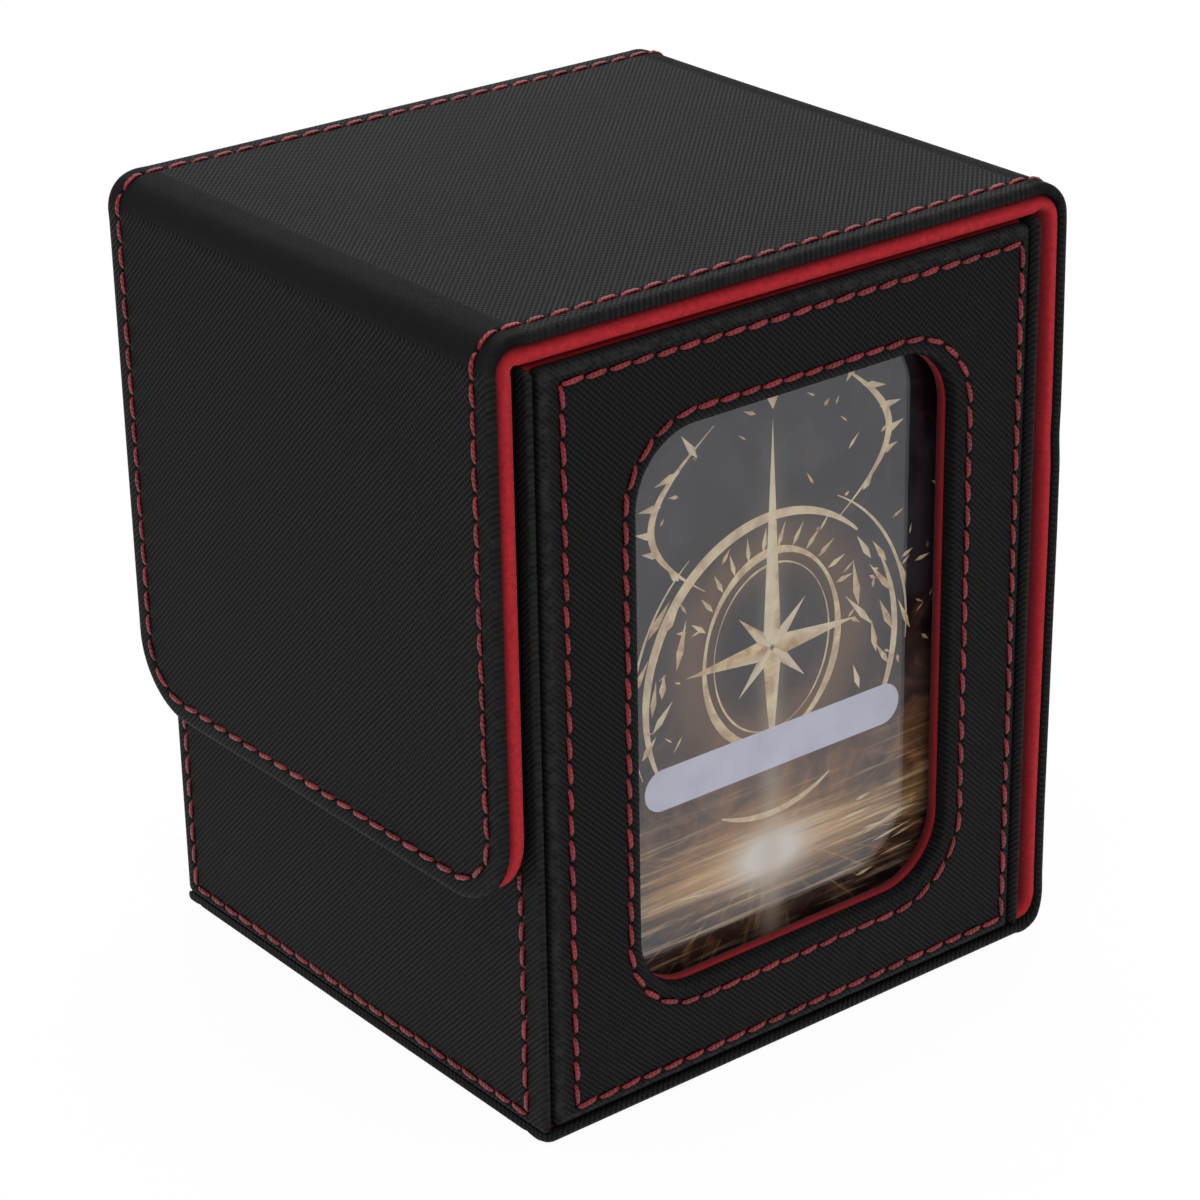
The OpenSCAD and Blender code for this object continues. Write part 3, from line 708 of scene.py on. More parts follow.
def path(s):
    """Place and outward direction of the strap's outer face at length s from the flap's lower edge."""
    s = np.asarray(s, float)
    one, none = 1 + 0 * s, 0 * s
    a1 = math.pi - (s - S1) / FOLD_R
    a2 = math.pi / 2 - (s - S3) / FOLD_R
    a3 = -(s - S7) / BASE_R
    fold_x, fold_z, base_x = HALF - FOLD_R, TOP - FOLD_R, HALF - BASE_R
    stretches = (  # x, z, and the outward direction's x and z
        (-HALF + none, FLAP_LOW + s, -one, none),
        (-fold_x + FOLD_R * np.cos(a1), fold_z + FOLD_R * np.sin(a1), np.cos(a1), np.sin(a1)),
        (-fold_x + (s - S2), TOP + none, none, one),
        (fold_x + FOLD_R * np.cos(a2), fold_z + FOLD_R * np.sin(a2), np.cos(a2), np.sin(a2)),
        (HALF + none, TOP - FOLD_R - (s - S4), one, none),
        (base_x + BASE_R * np.cos(a3), BASE_R + BASE_R * np.sin(a3), np.cos(a3), np.sin(a3)),
        (base_x - (s - S8), none, none, -one),
    )
    cases = [s < end for end in (S1, S2, S3, S4, S7, S8)]
    return [np.select(cases, column[:-1], column[-1]) for column in zip(*stretches)]


def step_up(t):
    t = np.clip(t, 0, 1)
    return t * t * (3 - 2 * t)


SWELL = (  # how far the cover stands out beyond its nominal place, by length along the strap
    (0.0, 0.20), (S1, 0.22), ((S1 + S2) / 2, 0.60), (S2, 0.22), (S2 + 20, 0.15), (S3 - 10, 0.0), (S3, 0.0),
    (S3 + 0.4 * (S4 - S3), 0.08), (S4, 0.75), (S5 - 8, 0.97), (S5 - 1.2, 1.0), (S5 + 1.7, 0.85), (S6 + 1, 1.15),
    (S6 + 12, 1.15), (S7 - 12, 0.80), (S7, 0.85), ((S7 + S8) / 2, 1.35), (S8, 0.0), (S9 + 9, 0.0),
)  # fmt: skip


def swell(s):
    """The hinge side stands out most, where the free panel pushes on the fold, with a slight dip at its waist."""
    s = np.asarray(s, float)
    at, out = np.array(SWELL).T
    total = 0 * s
    for d in (-1.6, -0.8, 0.0, 0.8, 1.6):
        total = total + np.interp(s + d, at, out)
    return np.where(s > S7 + 2, np.interp(s, at, out), total / 5)


def strap(s, v, h):
    """Maps (length along the strap, place across it, height over the outer face) to a place."""
    s, v, h = np.broadcast_arrays(*(np.asarray(q, float) for q in (s, v, h)))
    x, z, nx, nz = path(s)
    h = h + swell(s)
    return np.stack([x + nx * h, v, z + nz * h], -1)


def row_hole(s):
    """How near a length s is to a needle hole of the long rows."""
    t = (np.asarray(s) - ROW_START) / PITCH
    return needle(np.abs(t - np.round(t)) * PITCH) * ((s > ROW_START - 1) & (s < S7 + 1))


EDGE = (  # distance in from the cut edge, height, and painted highlight: lighter on the rounded edge and faintly along the stitches
    (1.6, -COVER, 0.0), (0.5, -COVER, 0.0), (0.2, -1.41, 0.1), (0.05, -1.20, 0.2), (0.0, -0.82, 0.3),
    (0.04, -0.42, 0.8), (0.19, -0.16, 1.0), (0.46, -0.03, 0.7), (0.85, 0.0, 0.25), (1.4, 0.0, 0.05),
    (1.85, 0.0, 0.0), (2.15, 0.0, 0.1), (2.4, 0.0, 0.1), (2.58, 0.0, 0.1), (2.7, 0.0, 0.1), (2.82, 0.0, 0.1),
    (3.0, 0.0, 0.1), (3.25, 0.0, 0.05), (3.6, 0.0, 0.0), (4.6, 0.0, 0.0), (6.0, 0.0, 0.0),
)  # fmt: skip
EDGE_D, EDGE_H, EDGE_W = (np.array([e[i] for e in EDGE]) for i in range(3))
ACROSS = np.linspace(NEAR + 6, FAR - 6, 15)[1:-1]
PAD = (  # distance in from the cover's cut edge, height, and painted shade: darker where the pad turns in
    (3.0, -1.52, 0.9), (1.7, -1.52, 0.9), (1.35, -1.60, 0.9), (1.04, -1.80, 0.75), (0.78, -2.08, 0.45),
    (0.57, -2.42, 0.15), (0.43, -2.78, 0.0), (0.37, -3.14, 0.0), (0.41, -3.46, 0.0), (0.57, -3.72, 0.05),
    (0.85, -3.90, 0.15), (1.25, -4.0, 0.1), (1.9, -4.0, 0.0), (4.0, -4.0, 0.0),
)  # fmt: skip
HINGE_PAD = (  # the same on the hinge panel, fuller under the cover, with painted shade on both turns
    (3.0, -1.37, 0.7), (0.85, -1.37, 0.7), (0.60, -1.41, 0.5), (0.43, -1.52, 0.2), (0.34, -1.72, 0.0),
    (0.31, -1.98, 0.0), (0.34, -2.24, 0.0), (0.44, -2.46, 0.08), (0.66, -2.68, 0.3), (0.96, -2.92, 0.55),
    (1.30, -3.22, 0.8), (1.70, -3.60, 0.9), (2.3, -3.92, 0.85), (4.0, -4.0, 0.6),
)  # fmt: skip
LEG_PAD = (  # the same on the leg beside the wall, where the pad runs back into the corner under a deepening painted shade
    (3.0, -1.37, 0.7), (0.85, -1.37, 0.7), (0.60, -1.40, 0.5), (0.43, -1.46, 0.2), (0.34, -1.56, 0.0),
    (0.31, -1.76, 0.0), (0.36, -1.96, 0.1), (0.55, -2.17, 0.35), (0.85, -2.40, 0.6), (1.25, -2.60, 0.85),
    (1.7, -2.85, 0.95), (2.2, -3.2, 1.0), (2.8, -3.7, 1.0), (4.0, -4.0, 1.0),
)  # fmt: skip
REST = COVER + LINING  # where the pad's inner face lies


def cover_thick(s):
    """The cover's turned edge is thinner on the hinge side and under the box."""
    return COVER - 0.15 * step_up((s - S3) / (S4 - S3)) - 0.15 * step_up((s - S7) / (S8 - S7))


def cover_top(s, v, d):
    """Height of the cover's outer face, d from the nearer cut edge."""
    rise = step_up((d - 0.6) / 2.0)
    return rise * relief(s, v, 0.05) - channel_depth(d - INSET, row_hole(s)) * (d > 1.3)


def base_near(s):
    """Under the box the near edge comes forward to the window wall, and its last corner is rounded."""
    corner = np.clip((s - (S9 - 1.3)) / 1.3, 0, 1)
    return 1.3 * (1 - np.sqrt(1 - corner**2)) - 1.0 * step_up((s - S7) / (S8 - S7))


def cover_strip(name, s0, s1, **kw):
    """The cover from s0 to s1. Like the other strips, it stands for the CAD node of its name."""
    build = Build()
    n = max(3, int(math.ceil((s1 - s0) / 0.55)))
    s = np.linspace(s0, s1, n + 1)[:, None]
    if s1 > S8:
        n += 6
        s = np.concatenate([s, S9 - 1.3 * np.cos(np.linspace(0.3, math.pi / 2, 6))[:, None]])
        s = np.sort(s, 0)
    d = np.concatenate([EDGE_D, 0 * ACROSS + 20, EDGE_D[::-1]])[None, :]
    near = base_near(s) * np.concatenate([0 * EDGE_D + 1, np.linspace(1, 0, len(ACROSS)), 0 * EDGE_D])[None, :]
    v = np.concatenate([NEAR + EDGE_D, ACROSS, FAR - EDGE_D[::-1]])[None, :] + near
    h = np.concatenate([EDGE_H, 0 * ACROSS, EDGE_H[::-1]])[None, :]
    w = np.concatenate([EDGE_W, 0 * ACROSS, EDGE_W[::-1]])[None, :] + 0 * s
    under = h <= -COVER + 0.001
    scale = cover_thick(s) / COVER
    high = np.where(under, h * scale, h * np.minimum(scale, 1)) + np.where(d > 0.5, cover_top(s, v, d), 0) * ~under
    lead = np.where(s > (S2 + S3) / 2, step_up((S4 - 1 - s) / (S4 - S3)), step_up((s - S1 - 1) / (S2 - S1)))
    grain = np.stack([v + 0 * s, s + 0 * v, lead + 0 * v], -1)
    build.grid(strap(s, v, high), grain, w, closed=True, caps=True)
    return build.done(name, BLACK, replaces=(name,), **kw)


def board_strip(name, s0, s1, **kw):
    """The greyboard between cover and pad, which follows the same swell."""
    build = Build()
    s = np.linspace(s0, s1, 25)[:, None]
    r, low = 6.5, 3.0  # the flap board's corners and lower edge
    turn = r - np.sqrt(np.maximum(r**2 - np.maximum(r + low - s, 0) ** 2, 0)) if s0 < FLAP_R else 0 * s
    v = np.array([NEAR + 2.2, NEAR + 2.0, NEAR + 2.2, FAR - 2.2, FAR - 2.0, FAR - 2.2])[None, :]
    v = v - np.sign(v) * turn
    h = np.array([-1.6, -2.6, -3.6, -3.6, -2.6, -1.6])[None, :]
    build.grid(strap(s, v, h), np.stack([v + 0 * s, s + 0 * v], -1), 0.0, closed=True, caps=True)
    return build.done(name, BOARD, replaces=(name,), **kw)


def lining_strip(name, s0, s1, depth=None, pad=PAD, pad_end=None, **kw):
    """The pad under the cover. depth(s) gives its inner face where that isn't at REST."""
    build = Build()
    n = max(3, int(math.ceil((s1 - s0) / 0.9)))
    s = np.linspace(s0, s1, n + 1)[:, None]
    t = step_up((s - s0) / (s1 - s0))
    d, h, w = (a + (b - a) * t for a, b in zip(np.array(pad).T, np.array(pad_end or pad).T))
    mid = np.linspace(NEAR + 4, FAR - 4, 12)[1:-1] + 0 * s
    v = np.hstack([NEAR + d, mid, FAR - d[:, ::-1]])
    h = np.hstack([h, 0 * mid - REST, h[:, ::-1]])
    w = np.hstack([w, 0 * mid, w[:, ::-1]])
    if depth is not None:
        c = 1.37  # the height at which the leg's pad starts
        h = -c + (h + c) * (depth(s) - c) / (REST - c)
    build.grid(strap(s, v, h), np.stack([v, s + 0 * v], -1), w, closed=True, caps=True)
    return build.done(name, RED, replaces=(name,), padded=PADDED, **kw)


FLAP_LOW_N = 17  # stitches along the flap's lower edge, between its corners


def flap_path(d, top):
    """The flap's outline, d in from its edge: down the near side, round the lower corners and up the far side."""
    r = FLAP_R - d
    down = np.linspace(top, FLAP_R, 88)[:-1]
    near, far = (np.radians(np.linspace(a, a + 90, 29))[:-1] for a in (180, 270))
    low = np.linspace(NEAR + FLAP_R, FAR - FLAP_R, PER * FLAP_LOW_N + 1)[:-1]
    up = np.linspace(FLAP_R, top, 88)
    ps = np.concatenate([down, FLAP_R + r * np.sin(near), 0 * low + d, FLAP_R + r * np.sin(far), up])
    pv = np.concatenate(
        [0 * down + NEAR + d, NEAR + FLAP_R + r * np.cos(near), low, FAR - FLAP_R + r * np.cos(far), 0 * up + FAR - d]
    )
    corner_n = max(1, round(math.pi / 2 * (FLAP_R - INSET) / STITCH))
    corner = phase_hole(np.arange(28) / 28 * corner_n)
    hole = [row_hole(down), corner, phase_hole(np.arange(len(low)) / PER), corner, row_hole(up)]
    return ps, pv, np.concatenate(hole)


def phase_hole(t):
    """needle() by how many stitches along its row a point is."""
    return needle(np.abs(t - np.round(t)) * 3.4)


def flap_piece(name, look, profile, top, lining=False, **kw):
    build = Build()
    rows = []
    for d, h, w in profile:
        ps, pv, hole = flap_path(d, top)
        if not lining and d > 0.5 and h > -COVER + 0.001:
            h = h + step_up((d - 0.6) / 2.0) * relief(ps, pv, 0.05) - channel_depth(d - INSET, hole) * (d > 1.3)
        rows.append((ps, pv, h + 0 * ps, w + 0 * ps))
    s, v, h, w = (np.array(q) for q in zip(*rows))
    build.grid(strap(s, v, h), np.stack([v, s], -1), w, closed=False)
    across = np.linspace(NEAR + 4, FAR - 4, 12)[1:-1] if lining else ACROSS
    outline = [np.column_stack([v[-1], s[-1]]), np.column_stack([across[::-1], 0 * across + top])]
    co, faces = fill(np.concatenate(outline), step=4.0, clear=1.6)
    high = np.full(len(co), -REST) if lining else relief(co[:, 1], co[:, 0], 0.05)
    build.put(strap(co[:, 1], co[:, 0], high), co, 0.0, faces)
    co, faces = fill(np.column_stack([v[0], s[0]]), step=12.0, clear=3.0)
    build.put(strap(co[:, 1], co[:, 0], np.full(len(co), profile[0][1])), co, 0.0, faces)
    # the end that meets the fold
    between = 0 * across + h[-1][0] if lining else relief(0 * across + top, across, 0.05)
    end_v = np.concatenate([v[:, 0], across, v[::-1, -1]])
    end_h = np.concatenate([h[:, 0], between, h[::-1, -1]])
    end_grain = np.stack([end_v, 0 * end_v + top], -1)
    build.put(strap(0 * end_v + top, end_v, end_h), end_grain, 0.0, [tuple(range(len(end_v)))])
    return build.done(name, look, body="flap", replaces=(name,), **kw)


def row_places(s0, s1):
    """Stitches of the two long rows whose middles lie from s0 to s1."""
    out = []
    for k in range(ROW_N):
        s = ROW_START + (k + 0.5) * PITCH
        if s0 <= s < s1:
            out += [(s, NEAR + INSET, 0.0), (s, FAR - INSET, 0.0)]
    return out


def stitch_piece(name, places, at, seed, body="box", blend=None):
    """A sewn row. One on a body stands for a CAD node; one over a fold is drawn only here."""
    build = Build()
    stitches(build, places, at, seed)
    replaces = () if blend else (name.replace("stitches", "stitching"),)
    return build.done(name, THREAD, body=body, blend=blend, replaces=replaces, sharp=80)


def base_depth(s):
    """How deep the lining under the cover goes in the lowest bend: as far as the box's wall and underside."""
    a = np.clip((s - S7) / BASE_R, 0.0, math.pi / 2)
    reach = np.minimum(0.5 / np.maximum(np.cos(a), 1e-6), 3.75 / np.maximum(np.sin(a), 1e-6))
    return np.maximum(BASE_R - reach + swell(s), 1.42)


# ---------------------------------------------------------------- display card


def flat_piece(build, outline, y, thick, highlight_and_shade=0.0):
    """A thin flat shape facing the window, from its outline in (x, z)."""
    pts = np.asarray(outline, float)
    n = len(pts)
    front = np.column_stack([pts[:, 0], np.full(n, y), pts[:, 1]])
    rear = front + np.array([0, thick, 0])
    faces = [tuple(range(n)), tuple(range(n, 2 * n))] + [(i, (i + 1) % n, n + (i + 1) % n, n + i) for i in range(n)]
    build.put(np.concatenate([front, rear]), np.concatenate([pts, pts]), highlight_and_shade, faces)


FOIL_Y, FOIL_THICK = -34.15, 0.03


def ribbon(build, centre_line, widths, y, thick, highlight_and_shade=0.0):
    """A drawn stroke: a band along a line with a width at each point."""
    p, w = np.asarray(centre_line, float), np.asarray(widths, float)
    t = np.gradient(p, axis=0)
    t /= np.linalg.norm(t, axis=1)[:, None]
    nrm = np.column_stack([-t[:, 1], t[:, 0]])
    left, right = p + nrm * w[:, None] / 2, p - nrm * w[:, None] / 2
    n = len(p)
    ring = []
    for side, dy in ((left, 0.0), (right, 0.0), (right, thick), (left, thick)):
        ring.append(np.column_stack([side[:, 0], np.full(n, y + dy), side[:, 1]]))
    xyz = np.stack(ring, 1)
    grain = np.stack([left, right, right, left], 1)
    build.grid(xyz, grain, highlight_and_shade, closed=True, caps=True)


def kite(build, x, z, length, width, lean, light):
    """A sharp leaf in a light and a dark half."""
    d, n = np.array([math.sin(lean), math.cos(lean)]), np.array([math.cos(lean), -math.sin(lean)])
    c = np.array([x, z])
    y = FOIL_Y - 0.010 - 0.008 * ((7.3 * x + 3.1 * z) % 1.0)  # leaves lie over the lines, each at its own height
    tip, tail = c + d * length * 0.64, c - d * length * 0.36
    flat_piece(build, [tail, c - n * width / 2, tip], y, FOIL_THICK, light)
    flat_piece(build, [tail, tip, c + n * width / 2], y, FOIL_THICK, light * 0.25)


def card_art():
    """Generic gold ornament: a long compass star in two rings, with sharp leaves drifting along broken arcs."""
    foil = Build()
    cx, cz, y, th = 0.5, 51.5, FOIL_Y, FOIL_THICK
    rng = np.random.default_rng(41)
    ang = np.linspace(0, 2 * math.pi, 97)
    for rx, rz, wide, wave in ((10.6, 12.6, 0.80, 0.34), (9.1, 11.0, 0.20, 0.10)):
        circle = np.column_stack([cx + rx * np.sin(ang), cz + rz * np.cos(ang)])
        ribbon(foil, circle, wide + wave * np.cos(ang * 3 + 0.6), y, th, 0.35)
    taper = 0.12 + 0.95 * np.sin(np.linspace(0.04, math.pi - 0.04, 70)) ** 0.7
    arcs = (  # first and last angle, radius, width
        (-118, 44, 20.2, 1.35), (62, 128, 20.6, 0.9), (150, 205, 19.4, 0.8), (-112, -36, 22.4, 0.35),
        (28, 96, 22.6, 0.4),
    )  # fmt: skip
    for k, (a0, a1, r, wide) in enumerate(arcs):
        a = np.radians(np.linspace(a0, a1, 70))
        line = np.column_stack([cx + r * np.sin(a) * 0.97, cz - 3.0 + r * np.cos(a)])
        ribbon(foil, line, wide * taper, y - 0.0015 * (k + 1), th, 0.55)
    # the star: four long points and four short ones, each in a light and a dark half
    for k in range(8):
        a = math.radians(45 * k)
        reach = {0: 29.5, 2: 13.5, 4: 15.5, 6: 13.5}.get(k, 7.4)
        waist = 2.5 if k % 2 == 0 else 1.7
        tip = (cx + reach * math.sin(a), cz + reach * math.cos(a))
        for side, highlight_and_shade in ((-1, 0.95), (1, 0.10)):
            b = a + side * math.radians(32)
            foot = (cx + waist * math.sin(b), cz + waist * math.cos(b))
            mid = (cx + 0.25 * math.sin(a), cz + 0.25 * math.cos(a))
            flat_piece(foil, [mid, foot, tip] if side < 0 else [mid, tip, foot], y - 0.004 * (k % 2 == 0), th, highlight_and_shade)
    # a small lozenge above the top point
    kite(foil, cx, cz + 32.6, 5.2, 2.1, 0.0, 0.8)
    # leaves fanning out along the rings: large ones low on both sides, small ones scattered between
    for k in range(15):
        t = k / 14
        for sgn in (-1, 1):
            a = sgn * math.radians(58 + 78 * t + rng.uniform(-3, 3))
            r = 17.5 + 3.0 * math.sin(k * 2.1) + rng.uniform(-1.2, 1.2) + (4.0 if sgn < 0 else 2.2) * t
            px, pz = cx + r * math.sin(a), cz - 1.0 + r * math.cos(a)
            if -28.5 < px < 29 and pz > 42.6:
                length, width = rng.uniform(3.0, 7.0), rng.uniform(0.55, 1.15)
                kite(foil, px, pz, length, width, -sgn * rng.uniform(0.1, 0.75), rng.uniform(0.3, 1))
    for k in range(90):
        a, r = rng.uniform(0, 2 * math.pi), rng.uniform(12.5, 30.0)
        px, pz = cx + r * math.sin(a), cz - 1.0 + r * math.cos(a) * 1.1
        if -28.5 < px < 30 and 42.2 < pz < 86 and abs(px - cx) > 3.0:
            length, width = rng.uniform(0.7, 2.6), rng.uniform(0.22, 0.6)
            kite(foil, px, pz, length, width, a + rng.uniform(-1.3, 1.3), rng.uniform(0, 0.9))
    for k in range(12):
        a = math.radians(-66 + 12 * k)
        kite(foil, cx + 12.2 * math.sin(a), cz + 14.0 * math.cos(a), 3.4 - 0.1 * abs(k - 6), 0.7, a + 0.25, 0.6)
    # two long curls at the top, with leaves along them
    for sgn, top in ((-1, 82.5), (1, 86.0)):
        t = np.linspace(0, 1, 40)
        line = np.column_stack([cx + sgn * (9.0 + 9.5 * np.sin(t * math.pi * 0.95)), top - 20.5 * t])
        ribbon(foil, line, 0.12 + 0.9 * np.sin(t * math.pi) ** 1.5, y - 0.009, th, 0.4)
        for k in (4, 9, 15, 21, 26, 33):
            lean = sgn * (2.2 - 0.045 * k) if k % 2 else sgn * (0.5 + 0.03 * k)
            kite(foil, *(line[k] + np.array([sgn * 0.5, 0.0])), 4.4 - 0.06 * k, 1.0, lean, 0.8)
    # pale splinters where the light meets the ground
    for k in range(16):
        px, pz = rng.choice([-1, 1]) * rng.uniform(9, 28), 22.0 + rng.uniform(-7.0, 5.0)
        length, width = rng.uniform(2.5, 7.0), rng.uniform(0.25, 0.55)
        kite(foil, px, pz, length, width, math.copysign(1.5, px) + rng.uniform(-0.12, 0.12), 1.0)
    foil.done("card_foil", FOIL, body="box", sharp=30)

    label = Build()
    r = 2.75
    flat_piece(label, loop((-19.4, 38.0 - r, 21.4, 38.0 + r + 0.001), r, (30, 1, 14)), -34.165, 0.035)
    label.done("card_label", LABEL, body="box", sharp=30)


def card_body():
    rect, r = (-30.45, 4.62, 32.55, 92.62), 3.0
    at = across_y(-34.12, -1)
    n = (20, 28, 8)
    build = Build()
    rows = [(0.8, 0.0), (0.12, 0.0), (0.0, -0.09), (0.0, -0.75), (0.12, -0.84), (0.8, -0.84)]
    ring = np.array([loop(grown(rect, -d), r - d, n) for d, _ in rows])
    high = np.array([np.full(ring.shape[1], h) for _, h in rows])
    build.grid(at(ring[..., 0], ring[..., 1], high), ring, 0.0)
    for k, h in ((0, 0.0), (-1, -0.84)):
        co, faces = fill(ring[k], step=6.0, clear=2.5)
        build.put(at(co[:, 0], co[:, 1], np.full(len(co), h)), co, 0.0, faces)
    ob = build.done("card_in_sleeve", CARD, body="box", replaces=("display_card",), sharp=30)
    ob.data.materials.append(STOCK)
    for p in ob.data.polygons:
        p.material_index = 0 if p.normal.y < -0.5 else 1


# ---------------------------------------------------------------- assembly

make_camera()
# a look is a material and the record's slot it belongs to
BLACK, RED = (black_cover(), "black_cover"), (red_lining(), "red_lining")
THREAD, BOARD = (red_thread(), "red_thread"), (greyboard(), "greyboard")
CARD, FOIL, LABEL = ((make(), "printed_card") for make in (card_face, card_foil, card_label))
STOCK = card_stock()
PADDED = 0.95  # how full the pads are

# outer shell
left_at, right_at = across_x(-SHELL_HALF, -1), across_x(SHELL_HALF, 1)
front_at, rear_at = across_y(-SHELL_HALF, -1), across_y(SHELL_HALF, 1)
SHELL = (-39.0, 1.25, 39.0, 98.15)
THIN = {  # the thin turned edge of the side walls
    "rim": ((0.62, 0.0), (0.40, -0.02), (0.21, -0.09), (0.07, -0.22), (0.0, -0.42)),
    "back": ((1.4, -1.35), (1.0, -1.35), (0.6, -1.24), (0.29, -1.03), (0.08, -0.76)),
}
left_row = ((-35.3, 2.6, 36.9, 95.6), 0.0)
rear_row = ((-34.2, 3.4, 34.2, 95.7), 0.0)
panel("left_wall_cover", BLACK, left_at, SHELL, 0.9, 1.35, stitch=left_row, **THIN)
panel("right_wall_cover", BLACK, right_at, SHELL, 0.9, 1.35, **THIN)
panel("rear_wall_cover", BLACK, rear_at, (-37.65, 1.25, 37.65, 98.15), 0.6, 1.35, stitch=rear_row)
stitch_piece("left_wall_stitches", runs(*left_row), left_at, 3)
stitch_piece("rear_wall_stitches", runs(*rear_row), rear_at, 5)
for side, name in ((-1, "left_wall_board"), (1, "right_wall_board")):
    panel(
        name, BOARD, across_x(side * 38.6, side), (-37.5, 2.6, 37.6, 96.8), 0.3, 0.6, sag=0.0,
        rim=((0.3, 0.0), (0.0, -0.05)), back=[(0.3, -0.6), (0.0, -0.5)],
    )  # fmt: skip

# window wall
WINDOW, WINDOW_R = (-23.5, 13.3, 25.6, 85.8), 8.7
front_row = ((-34.2, 3.4, 35.75, 95.7), 0.0)
cover_lip = [
    (0.95, -0.03), (0.66, -0.12), (0.40, -0.29), (0.20, -0.54), (0.07, -0.86), (0.0, -1.3), (0.0, -1.95), (0.12, -2.2)
]  # fmt: skip
core_lip = [(0.7, 0.0), (0.1, -0.02), (0.0, -0.1), (0.0, -0.9), (0.1, -1.0)]
liner_lip = [
    (0.75, -0.02), (0.30, -0.04), (0.10, -0.14), (0.02, -0.36), (0.0, -0.8), (0.03, -1.25), (0.22, -1.55),
    (0.7, -1.8), (1.1, -2.05), (1.3, -2.3),
]  # fmt: skip
SOFT = {  # the liners' soft rim
    "rim": ((1.3, -0.0), (0.8, -0.02), (0.45, -0.10), (0.2, -0.25), (0.05, -0.48), (0.0, -0.75)),
    "padded": PADDED,
    "painted_rim_highlight": 0.0,
}


def opening(start, lip, highlight_and_shade, stitch=False, grow=0.0):
    """The window's opening as panel() takes it. start is how far out its front rim begins."""
    rect, r = grown(WINDOW, grow), WINDOW_R + grow
    return {"rect": rect, "r": r, "start": start, "lip": lip, "highlight_and_shade": highlight_and_shade, "stitch": stitch}


# painted highlight on the cover's outer rim and on the window's rounded rim
panel(
    "window_panel_cover", BLACK, front_at, (-37.3, 1.4, 37.36, 97.75), 0.9, 2.2, stitch=front_row, painted_rim_highlight=1.6,
    window=opening(2.95, cover_lip, lambda h: 0.5 if -0.4 < h < -0.03 else 0.05, stitch=True),
    rim=((1.5, 0.0), (1.05, -0.04), (0.68, -0.14), (0.38, -0.32), (0.15, -0.60), (0.0, -1.05)),
)  # fmt: skip
stitch_piece("window_panel_stitches", runs(*front_row), front_at, 7)
stitch_piece("window_edge_stitches", runs(grown(WINDOW, ROW_GAP), 10.8), front_at, 9)
# painted shade: the red jamb is painted darker the deeper it runs into the window
panel(
    "front_liner", RED, across_y(-36.8, -1), (-37.65, 3.8, 37.65, 97.75), 0.3, 2.3, sag=0.0,
    window=opening(0.75, liner_lip, lambda h: min(1.0, 0.35 - h * 0.6)), **SOFT,
)  # fmt: skip
for name, y, rect, r, grow in (
    ("window_panel_board", -38.2, (-36.0, 2.9, 36.0, 96.3), 0.5, 1.2),
    ("front_liner_board", -36.2, (-36.5, 4.8, 36.5, 96.6), 0.3, 1.4),
):
    panel(
        name, BOARD, across_y(y, -1), rect, r, 1.0, sag=0.0, window=opening(0.7, core_lip, lambda h: 0.0, grow=grow),
        rim=((0.3, 0.0), (0.0, -0.1)), back=[(0.3, -1.0), (0.0, -0.9)],
    )  # fmt: skip

# inside faces
for name, at, rect, thick in (
    ("left_liner", across_x(-35.5, 1), (-34.5, 3.8, 37.65, 98.0), 2.15),
    ("right_liner", across_x(35.5, -1), (-34.5, 3.8, 37.65, 98.0), 2.15),
    ("rear_liner", across_y(35.5, -1), (-35.5, 3.8, 35.5, 98.0), 2.15),
    ("base_liner", plane((0, 0, 4.6), (1, 0, 0), (0, 1, 0), (0, 0, 1)), (-35.5, -34.5, 35.5, 35.5), 0.8),
):
    panel(name, RED, at, rect, 0.3, thick, sag=0.08, **SOFT)

# the wrap, piece by piece along the strap: each rides a body, or, over a joint, stays in place without one
cover_lid = {"blend": ("hinge_panel", "lid", (42.0, 0, 97.35), (38.65, 0, 100.7))}
cover_flap = {"blend": ("lid", "flap", (-38.65, 0, 100.7), (-42.0, 0, 97.35))}
pad_lid = {"blend": ("hinge_panel", "lid", (40.5, 0, 98.35), (39.65, 0, 99.2))}
pad_flap = {"blend": ("lid", "flap", (-39.65, 0, 99.2), (-40.5, 0, 98.35))}
waist = {"blend": ("box", "hinge_panel", (0, 0, WAIST_LOW), (0, 0, WAIST_HIGH))}
lid, hinge, box = {"body": "lid"}, {"body": "hinge_panel"}, {"body": "box"}
flap_piece("flap_cover", BLACK, EDGE, S1 - 1)
flap_piece("flap_lining", RED, PAD, S1 - 1, lining=True, padded=PADDED)
for name, s0, s1, how in (
    ("flap_fold", S1 - 1, S2 + 1, cover_flap),
    ("lid", S2 + 1, S3 - 1, lid),
    ("lid_fold", S3 - 1, S4 + 1, cover_lid),
    ("hinge_panel", S4 + 1, S5, hinge),
    ("rear_fold", S5, S6, waist),
    ("hinge_leg", S6, S7, box),
    ("base_bend", S7, S8, box),
    ("base_wrap", S8, S9, box),
):
    cover_strip(name + "_cover", s0, s1, **how)
lining_strip("flap_fold_lining", S1 - 1, S2 + 1, **pad_flap)
lining_strip("lid_lining", S2 + 1, S3 - 1, **lid)
lining_strip("lid_fold_lining", S3 - 1, S4 + 1, pad_end=HINGE_PAD, **pad_lid)
lining_strip("hinge_panel_lining", S4 + 1, S5, pad=HINGE_PAD, **hinge)
lining_strip("rear_fold_lining", S5, S6, pad=HINGE_PAD, **waist)
lining_strip("hinge_leg_lining", S6, S7, lambda s: 4.48 + swell(s), pad=LEG_PAD, **box)
lining_strip("base_wrap_lining", S7, S9 - 1, base_depth, pad=LEG_PAD, **box)
board_strip("flap_board", 3.0, S1 - 1.2, body="flap")
board_strip("lid_board", S2 + 1.2, S3 - 1.2, **lid)
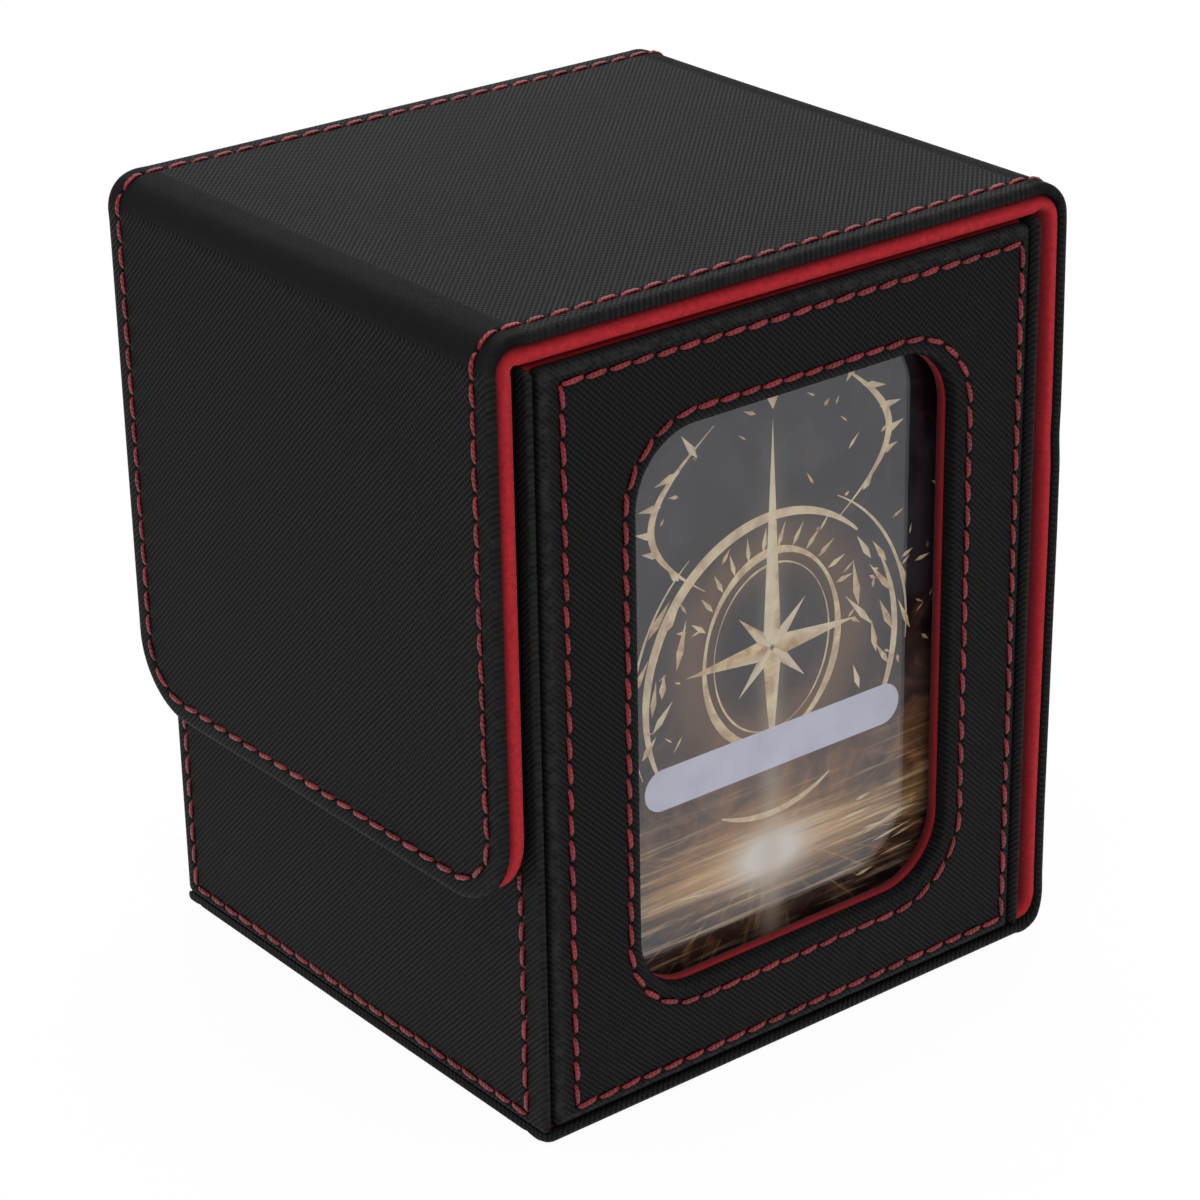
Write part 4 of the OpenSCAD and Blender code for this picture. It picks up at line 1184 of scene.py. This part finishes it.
board_strip("hinge_panel_board", S4 + 1.2, S5 - 0.3, **hinge)
board_strip("hinge_leg_board", S6 + 0.3, S7 - 0.3, **box)

row_r = FLAP_R - INSET
flap_turns = turns(FLAP_R, NEAR + FLAP_R, row_r, 180, 270) + turns(FLAP_R, FAR - FLAP_R, row_r, 90, 180)
low_step = (FAR - NEAR - 2 * FLAP_R) / FLAP_LOW_N
flap_low = [(INSET, NEAR + FLAP_R + low_step * (k + 0.5), math.pi / 2) for k in range(FLAP_LOW_N)]
stitch_piece("flap_stitches", row_places(0, S1) + flap_turns + flap_low, strap, 11, body="flap")
for name, s0, s1, seed, how in (
    ("flap_fold", S1, S2, 13, cover_flap),
    ("lid", S2, S3, 15, lid),
    ("lid_fold", S3, S4, 17, cover_lid),
    ("hinge_panel", S4, S5, 19, hinge),
    ("rear_fold", S5, S6, 21, waist),
    ("hinge_leg", S6, S7, 23, box),
):
    stitch_piece(name + "_stitches", row_places(s0, s1), strap, seed, **how)

card_body()
card_art()

# CAD nodes that are shown or lie inside
NODE_LOOKS = {
    "base_cover": BLACK[0],
    "window_film": clear_film(),
    "strike_discs": metal("steel", (0.56, 0.57, 0.58), 0.3),
    "flap_magnets": metal("magnet", (0.72, 0.72, 0.73), 0.18),
}
for name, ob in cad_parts.items():
    look = NODE_LOOKS.get(name)
    if look is None and not ob.hide_render:
        look = (RED if name in ("pocket_lining", "pocket_sides") else BOARD)[0]
    if look is not None:
        ob.data.materials.clear()
        ob.data.materials.append(look)
for name in ("pocket_lining", "pocket_sides", "pocket_board", "base_cover"):
    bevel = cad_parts[name].modifiers.new("edge", "BEVEL")
    bevel.width, bevel.segments, bevel.limit_method = 0.00015, 2, "ANGLE"

# ---------------------------------------------------------------- stage and light

DOME, HORIZON = 1.52, 0.15  # brightness overhead, and at the height of the object

floor = bpy.data.meshes.new("floor")
floor.from_pydata([(-4, -4, -0.0002), (4, -4, -0.0002), (4, 4, -0.0002), (-4, 4, -0.0002)], [], [(0, 1, 2, 3)])
floor.materials.append(floor_material())
floor_ob = bpy.data.objects.new("floor", floor)
bpy.context.scene.collection.objects.link(floor_ob)

world = bpy.data.worlds.new("studio")
bpy.context.scene.world = world
world.use_nodes = True
tree = world.node_tree
tree.nodes["Background"].inputs[0].default_value = (1.0, 1.0, 1.0, 1)
direction = tree.nodes.new("ShaderNodeTexCoord")
parts = tree.nodes.new("ShaderNodeSeparateXYZ")
tree.links.new(direction.outputs["Generated"], parts.inputs[0])
level = parts.outputs[2]
for operation, values in (("MAXIMUM", (0.0,)), ("POWER", (1.4,)), ("MULTIPLY_ADD", (DOME, HORIZON))):
    step = tree.nodes.new("ShaderNodeMath")
    step.operation = operation
    for i, value in enumerate(values):
        step.inputs[i + 1].default_value = value
    tree.links.new(level, step.inputs[0])
    level = step.outputs[0]
tree.links.new(level, tree.nodes["Background"].inputs[1])
area_light("overhead", (0.0, 0.2, 1.3), (0, 0, 0.05), (1.2, 1.2), 4.0)
area_light("back_right", (1.05, 1.1, 0.75), (0, 0, 0.08), (1.3, 0.7), 4.0)
bpy.context.scene.view_settings.view_transform = "Standard"
bpy.context.scene.view_settings.look = "None"
